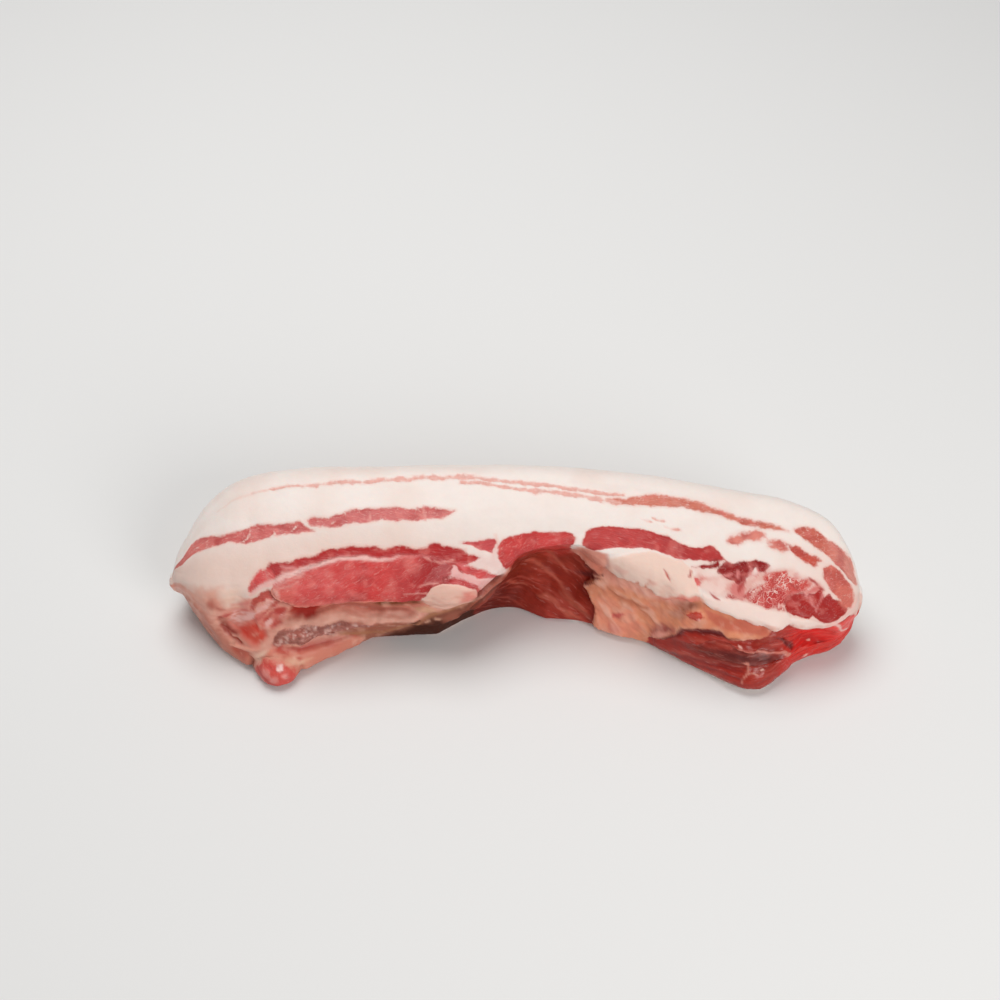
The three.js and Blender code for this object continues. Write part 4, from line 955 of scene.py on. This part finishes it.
for red, green, blue, softness, height, *pieces in STAINS.values():
    for outline in pieces:
        edge = patch(outline) + 0.45 * softness * torn_noise
        tint(fat, smooth(-softness, softness, edge), red, green, blue)
        relief += height * smooth(-0.6 - 0.6 * softness, 0.6 + 0.6 * softness, edge)
for name in ("white sheet", "shelf", "left of the sheet", "lump"):
    lean_edge = np.minimum(lean_edge, -patch(STAINS[name][-1]))
on_rib = smooth(-0.5, 0.5, pv) * (~below)
pale = on_rib * (1 - smooth(-2, 1, patch(STAINS["shaded foot"][-1])))
pale *= 1 - smooth(-1, 1, patch(STAINS["dark patch"][-1]))
tint(fat, pale * 0.3 * smooth(0, 0.8, noise(spots, 5.0, 34, 3)), 206, 116, 98)
tint(fat, pale * 0.35 * smooth(0.1, 0.8, noise(spots, 3.0, 35, 3)), 238, 184, 162)
soft_fat = smooth(-1.5, 1.5, patch(STAINS["fat face"][-1])) * (1 - smooth(50, 62, x))
folds = noise(np.stack([(px + pv) / 11, (pv - px) / 3.2, z / 9], axis=-1), 1.0, 49, 3)
tint(fat, soft_fat * 0.5 * smooth(0, 0.8, folds), 248, 196, 176)
tint(fat, soft_fat * 0.5 * smooth(0, 0.8, -folds), 204, 122, 102)
relief += 0.5 * soft_fat * folds
mottled = smooth(-1.5, 1.5, patch(STAINS["mottled"][-1]))
smears = noise(np.stack([(px - pv) / 9, (px + pv) / 3, z / 9], axis=-1), 1.0, 36, 3)
tint(fat, mottled * 0.9 * smooth(0.05, 0.6, smears), 238, 186, 178)
tint(fat, mottled * 0.8 * smooth(0.05, 0.6, -smears), 188, 70, 64)
marbled = smooth(-1.5, 1.5, patch(STAINS["marbled ground"][-1]))
tint(fat, marbled * 0.8 * smooth(0.05, 0.5, smears), 208, 108, 104)
tint(fat, marbled * 0.6 * smooth(0.05, 0.5, -smears), 240, 216, 208)
for red, green, blue, *finish, outline in RIB_LEAN.values():
    lay_lean(outline, *finish, red, green, blue)
hollow = smooth(-1, 1, patch(RIB_LEAN["hollow"][-1]))
dull = np.maximum(hollow, smooth(-2, 2, patch(STAINS["shaded foot"][-1])))
dull = np.maximum(dull, smooth(-2, 2, stroke(MARKS["silverskin"][-1])))
dull = np.maximum(dull, smooth(-2, 1, patch(STAINS["dark patch"][-1])))
dull = np.maximum(dull, 0.6 * smooth(94, 106, x) * smooth(0, 2, pv))
# Inside the hollow the lean is painted darker at its left and at its top under the block, as painted shade, and redder
# low down.
tint(lean, hollow * 0.8 * (1 - smooth(-8, 8, x - 1)), 92, 20, 10)
tint(lean, hollow * 0.6 * (1 - smooth(1.15, 1.6, q)), 130, 44, 24)
tint(lean, hollow * 0.6 * smooth(1.7, 1.9, q) * smooth(0, 10, x), 172, 58, 46)
right_end = smooth(94, 106, x) * smooth(0, 2, pv)
tint(lean, right_end * 0.9, 230, 18, 12)
tint(lean, right_end * 0.8 * smooth(108, 122, x) * (1 - smooth(1.3, 1.6, q)), 232, 88, 82)
tint(lean, right_end * 0.6 * smooth(1.5, 1.7, q), 208, 50, 38)
for red, green, blue, softness, height, *lines in MARKS.values():
    for line in lines:
        share = smooth(-softness, 0.6 * softness, stroke(line) + 0.25 * torn_noise)
        tint(fat, share, red, green, blue)
        tint(lean, share, red, green, blue)
        relief += height * share

# Streaks along the grain, darker and paler.
run = px * np.cos(slant) + pv * np.sin(slant)
over = pv * np.cos(slant) - px * np.sin(slant)
fibre = noise(np.stack([run / 9.0, over / 1.1, z / 9.0], axis=-1), 1.0, 46, 3)
tint(lean, on_rib * 0.28 * smooth(0, 1, fibre), 220, 104, 88)
tint(lean, on_rib * 0.32 * smooth(0, 1, -fibre), 124, 28, 24)
tint(fat, pale * 0.25 * smooth(0, 1, -fibre), 190, 104, 86)

# ------------------------------------------------------------------------------------------
# Rind
# The skin side: tan pink rind with pores and fine wrinkles.
# ------------------------------------------------------------------------------------------

rind = (smooth(3.0, 3.06, q + 0.02 * noise(spots, 6.0, 31, 2))
        * (1 - smooth(3.90, 3.94, q + 0.01 * noise(spots, 6.0, 32, 2)))
        * smooth(-125, -123, px) * (1 - smooth(122, 124, px)))
tint(fat, rind, 226, 190, 166)
tint(fat, rind * 0.4 * smooth(-0.2, 0.9, noise(spots, 22.0, 33, 3)), 214, 166, 144)
lean_edge = np.minimum(lean_edge, 6 - 12 * smooth(0, 0.3, rind))
marbling = marbling * (1 - rind)

# ------------------------------------------------------------------------------------------
# Skin of the strip
# One closed skin over the form. Fine relief lies along its normals: soft dents, lean sunk a
# little below the fat, ragged torn edges, folds of membrane, and fibres.
# ------------------------------------------------------------------------------------------

count = rows * columns
ring = np.arange(rows - 1)[:, None] * columns
left = np.arange(columns)[None]
right = (left + 1) % columns
quads = np.stack([ring + left, ring + right, ring + columns + right, ring + columns + left], -1)
quads = quads.reshape(-1, 4)
first, last = count, count + 1
start_fan = np.stack([right[0], left[0], np.full(columns, first)], -1)
end_ring = (rows - 1) * columns
end_fan = np.stack([end_ring + left[0], end_ring + right[0], np.full(columns, last)], -1)
poles = np.stack([form[0].mean(axis=0), form[-1].mean(axis=0)])
vertices = np.concatenate([form.reshape(-1, 3), poles])

mesh = bpy.data.meshes.new("pork_belly")
loops = np.concatenate([quads.ravel(), start_fan.ravel(), end_fan.ravel()]).astype(np.int32)
sizes = np.concatenate([np.full(len(quads), 4), np.full(2 * columns, 3)])
mesh.vertices.add(len(vertices))
mesh.vertices.foreach_set("co", vertices.astype(np.float32).ravel())
mesh.loops.add(len(loops))
mesh.loops.foreach_set("vertex_index", loops)
mesh.polygons.add(len(sizes))
mesh.polygons.foreach_set("loop_start", np.concatenate([[0], np.cumsum(sizes)[:-1]]).astype(np.int32))
mesh.update(calc_edges=True)
mesh.validate()
normals = np.empty(len(vertices) * 3, np.float32)
mesh.vertex_normals.foreach_get("vector", normals)
normals = normals.reshape(-1, 3)[:count].reshape(rows, columns, 3)

on_table = smooth(0.2, 3.0, z)
relief += 0.45 * noise(spots, 24.0, 41) + 0.16 * noise(spots, 7.0, 42, 2)
relief += on_rib * (0.35 * noise(spots, 6.0, 47, 3) + 0.12 * noise(spots, 1.9, 48, 2))
relief -= 0.3 * smooth(-0.4, 0.7, lean_edge) * (1 - rind)
relief += 0.10 * noise(spots, 2.2, 43, 2) * smooth(-0.4, 0.7, lean_edge)

# The torn left edge of the fat beside the hollow: x along the girth.
TORN_EDGE = [(1.22, 24.5), (1.3, 27), (1.35, 29), (1.42, 29.2), (1.48, 27.6), (1.53, 26.2),
             (1.6, 27.3), (1.7, 28.7), (1.8, 29.8), (1.9, 29.3), (2.1, 29)]
torn = px - curve(TORN_EDGE, q) + 0.9 * noise(spots, 2.4, 44, 2)
relief += (1.8 * smooth(-0.4, 0.6, torn) * (1 - smooth(5, 24, torn))
           * smooth(1.2, 1.34, q) * (1 - smooth(1.96, 2.1, q)))

gland = np.clip(1 - ((px - 65.3) / 3.8) ** 2 - ((q - 1.235) / 0.1) ** 2, 0, 1)
relief += 1.3 * gland ** 0.7
ridge = smooth(-1, 1, patch(RIB_LEAN["wet ridge"][-1]))
speckle = noise(spots, 1.25, 45, 2)
relief += ridge * 0.3 * speckle
# On the wet ridge the raised specks are painted pale as highlights and the pits darker as painted shade.
tint(lean, ridge * smooth(0.15, 0.6, speckle) * 0.6, 226, 184, 174)
tint(lean, ridge * smooth(0.1, 0.7, -speckle) * 0.6, 126, 66, 58)
relief += 0.15 * fibre * on_rib * smooth(-0.5, 1.0, np.maximum(lean_edge, torn * (q > 1.2)))
relief *= on_table
fade = np.ones(rows)
fade[:CAP_RINGS] = np.cos(turn)[::-1]
fade[-CAP_RINGS:] = np.cos(turn)
relief *= fade[:, None] * smooth(-128, -119, x)

skin = form + normals * relief[..., None]
skin[..., 2] = np.maximum(skin[..., 2], 0)
poles = np.stack([skin[0].mean(axis=0), skin[-1].mean(axis=0)])
vertices = np.concatenate([skin.reshape(-1, 3), poles]) * MM
mesh.vertices.foreach_set("co", vertices.astype(np.float32).ravel())
mesh.polygons.foreach_set("use_smooth", np.ones(len(sizes), bool))


def store(name, kind, values):
    """Writes one value or colour for each point, with the poles taking their ring's mean."""
    values = np.asarray(values, np.float32)
    ends = np.stack([values[0].mean(axis=0), values[-1].mean(axis=0)])
    values = np.concatenate([values.reshape((count,) + values.shape[2:]), ends])
    layer = mesh.attributes.new(name, kind, "POINT")
    if kind == "FLOAT_COLOR":
        values = np.concatenate([values, np.ones((len(values), 1), np.float32)], axis=1)
    field = {"FLOAT": "value", "FLOAT_COLOR": "color", "FLOAT_VECTOR": "vector"}[kind]
    layer.data.foreach_set(field, values.ravel())


store("lean_edge", "FLOAT", np.clip(lean_edge, -4, 4))
store("marbling", "FLOAT", marbling)
store("rind", "FLOAT", rind)
store("wet", "FLOAT", np.clip(ridge + smooth(40, 60, x) * on_rib * smooth(-0.5, 0.5, lean_edge), 0, 1))
store("dull", "FLOAT", dull)
store("fat", "FLOAT_COLOR", np.clip(fat, 0, 1))
store("lean", "FLOAT_COLOR", np.clip(lean, 0, 1))
store("grain", "FLOAT_VECTOR", np.stack([run * stretch * MM, over * MM, z * 0.4 * MM], axis=-1))
mesh.update()

pork = bpy.data.objects.new("pork_belly", mesh)
bpy.context.scene.collection.objects.link(pork)

# ------------------------------------------------------------------------------------------
# Raw pork
# Fat is pale and waxy, lean is red with fibres and threads of fat, and both are moist. Rind has
# pores. Light soaks a few millimetres into all of them.
# ------------------------------------------------------------------------------------------

raw_pork = bpy.data.materials.new("raw_pork")
raw_pork.use_nodes = True
shader_nodes = raw_pork.node_tree.nodes
shader_links = raw_pork.node_tree.links
skin_shader = shader_nodes["Principled BSDF"]


class Wire:
    """A socket. An expression on it adds the Math nodes that work it out."""

    def __init__(self, socket):
        self.socket = socket

    def feed(self, inlet):
        shader_links.new(self.socket, inlet)

    def __add__(self, other):
        return node("Math", {"operation": "ADD"}, {0: self, 1: other})

    def __sub__(self, other):
        return node("Math", {"operation": "SUBTRACT"}, {0: self, 1: other})

    def __rsub__(self, other):
        return node("Math", {"operation": "SUBTRACT"}, {0: other, 1: self})

    def __mul__(self, other):
        return node("Math", {"operation": "MULTIPLY"}, {0: self, 1: other})

    __radd__ = __add__
    __rmul__ = __mul__


def node(kind, settings, inlets, outlet=0):
    """Adds a shader node, sets its settings, then its sockets, and returns one outlet."""
    made = shader_nodes.new("ShaderNode" + kind)
    for name, value in settings.items():
        setattr(made, name, value)
    for name, value in inlets.items():
        if isinstance(value, Wire):
            value.feed(made.inputs[name])
        else:
            made.inputs[name].default_value = value
    return Wire(made.outputs[outlet])


def step(low, high, value):
    """Smooth step from 0 at low to 1 at high."""
    return node("MapRange", {"interpolation_type": "SMOOTHSTEP"},
                {"Value": value, "From Min": low, "From Max": high})


def blend(share, first, second):
    return node("Mix", {"data_type": "RGBA"}, {0: share, 6: first, 7: second}, 2)


def scaled(tone, factor):
    """A colour times a number."""
    return node("VectorMath", {"operation": "SCALE"}, {"Vector": tone, "Scale": factor})


def grains(size, octaves, where, rough=0.5):
    """Noise of a size in millimetres, from 0 to 1."""
    return node("TexNoise", {}, {"Vector": where, "Scale": 1 / (size * MM), "Detail": octaves,
                                 "Roughness": rough})


def from_mesh(name, outlet="Fac"):
    return node("Attribute", {"attribute_name": name}, {}, outlet)


spot = node("TexCoord", {}, {}, "Object")
grain = from_mesh("grain", "Vector")
marble = from_mesh("marbling")
dull = from_mesh("dull")
edge = from_mesh("lean_edge") + 1.3 * (grains(1.7, 3, spot, 0.6) - 0.5)
# A net of fat threads lies where the grain's noise passes through its middle.
middle = node("Math", {"operation": "ABSOLUTE"}, {0: grains(2.3, 2, grain, 0.55) - 0.5})
net = 38 * (middle - 0.058 * marble + 0.014)
second = node("Math", {"operation": "ABSOLUTE"}, {0: grains(1.1, 1, grain) - 0.5})
fine_net = 30 * (second - 0.035 * marble + 0.014)
edge = node("Math", {"operation": "MINIMUM"}, {0: edge, 1: net})
edge = node("Math", {"operation": "MINIMUM"}, {0: edge, 1: fine_net})
lean_share = step(-0.35, 0.4, edge)

fibres = grains(0.7, 2, node("Mapping", {}, {"Vector": grain, "Scale": (0.6, 1, 1)}), 0.6)
lean_tone = 0.80 + 0.32 * fibres + 0.22 * (grains(4.5, 3, spot, 0.6) - 0.5)
lean_colour = scaled(from_mesh("lean", "Color"), lean_tone)
dashes = step(0.60, 0.70, grains(0.9, 2, grain, 0.5)) * (0.05 + 0.75 * marble)
lean_colour = blend(dashes, lean_colour, (*colour(240, 170, 160), 1))
fat_tone = 0.96 + 0.08 * grains(3.0, 4, spot, 0.6)
fat_colour = scaled(from_mesh("fat", "Color"), fat_tone)
rind_share = from_mesh("rind")
pores = node("TexVoronoi", {"feature": "F1"}, {"Vector": spot, "Scale": 1 / (2.4 * MM)})
pore = (1 - step(0.08, 0.22, pores)) * rind_share
fat_colour = blend(pore * 0.35, fat_colour, (*colour(160, 112, 88), 1))
wrinkle = grains(3.5, 3, node("Mapping", {}, {"Vector": spot, "Scale": (1, 1, 2.2)}), 0.6)

skin_colour = blend(lean_share, fat_colour, lean_colour)
skin_colour.feed(skin_shader.inputs["Base Color"])
wet = from_mesh("wet")
rough = (0.42 - 0.06 * lean_share + 0.10 * (grains(6.0, 2, spot) - 0.5) - 0.14 * wet
         + 0.2 * dull)
rough.feed(skin_shader.inputs["Roughness"])
wet_coat = (0.08 + 0.12 * lean_share + 0.12 * wet) * (1 - 0.85 * dull)
wet_coat.feed(skin_shader.inputs["Coat Weight"])
height = (lean_share * (0.7 * fibres - 0.35) + 0.25 * grains(1.3, 3, spot, 0.6)
          + 0.4 * dashes + rind_share * (0.5 * wrinkle - 0.5 * pore))
bump = node("Bump", {}, {"Strength": 0.7, "Distance": 0.4 * MM, "Height": height})
bump.feed(skin_shader.inputs["Normal"])
skin_shader.inputs["Coat Roughness"].default_value = 0.22
skin_shader.inputs["IOR"].default_value = 1.4
skin_shader.inputs["Specular IOR Level"].default_value = 0.3
skin_shader.inputs["Subsurface Weight"].default_value = 0.12
skin_shader.inputs["Subsurface Radius"].default_value = (1.0, 0.35, 0.25)
skin_shader.inputs["Subsurface Scale"].default_value = 2.5 * MM
mesh.materials.append(raw_pork)

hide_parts("pork_belly_slab")
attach(pork, "root")
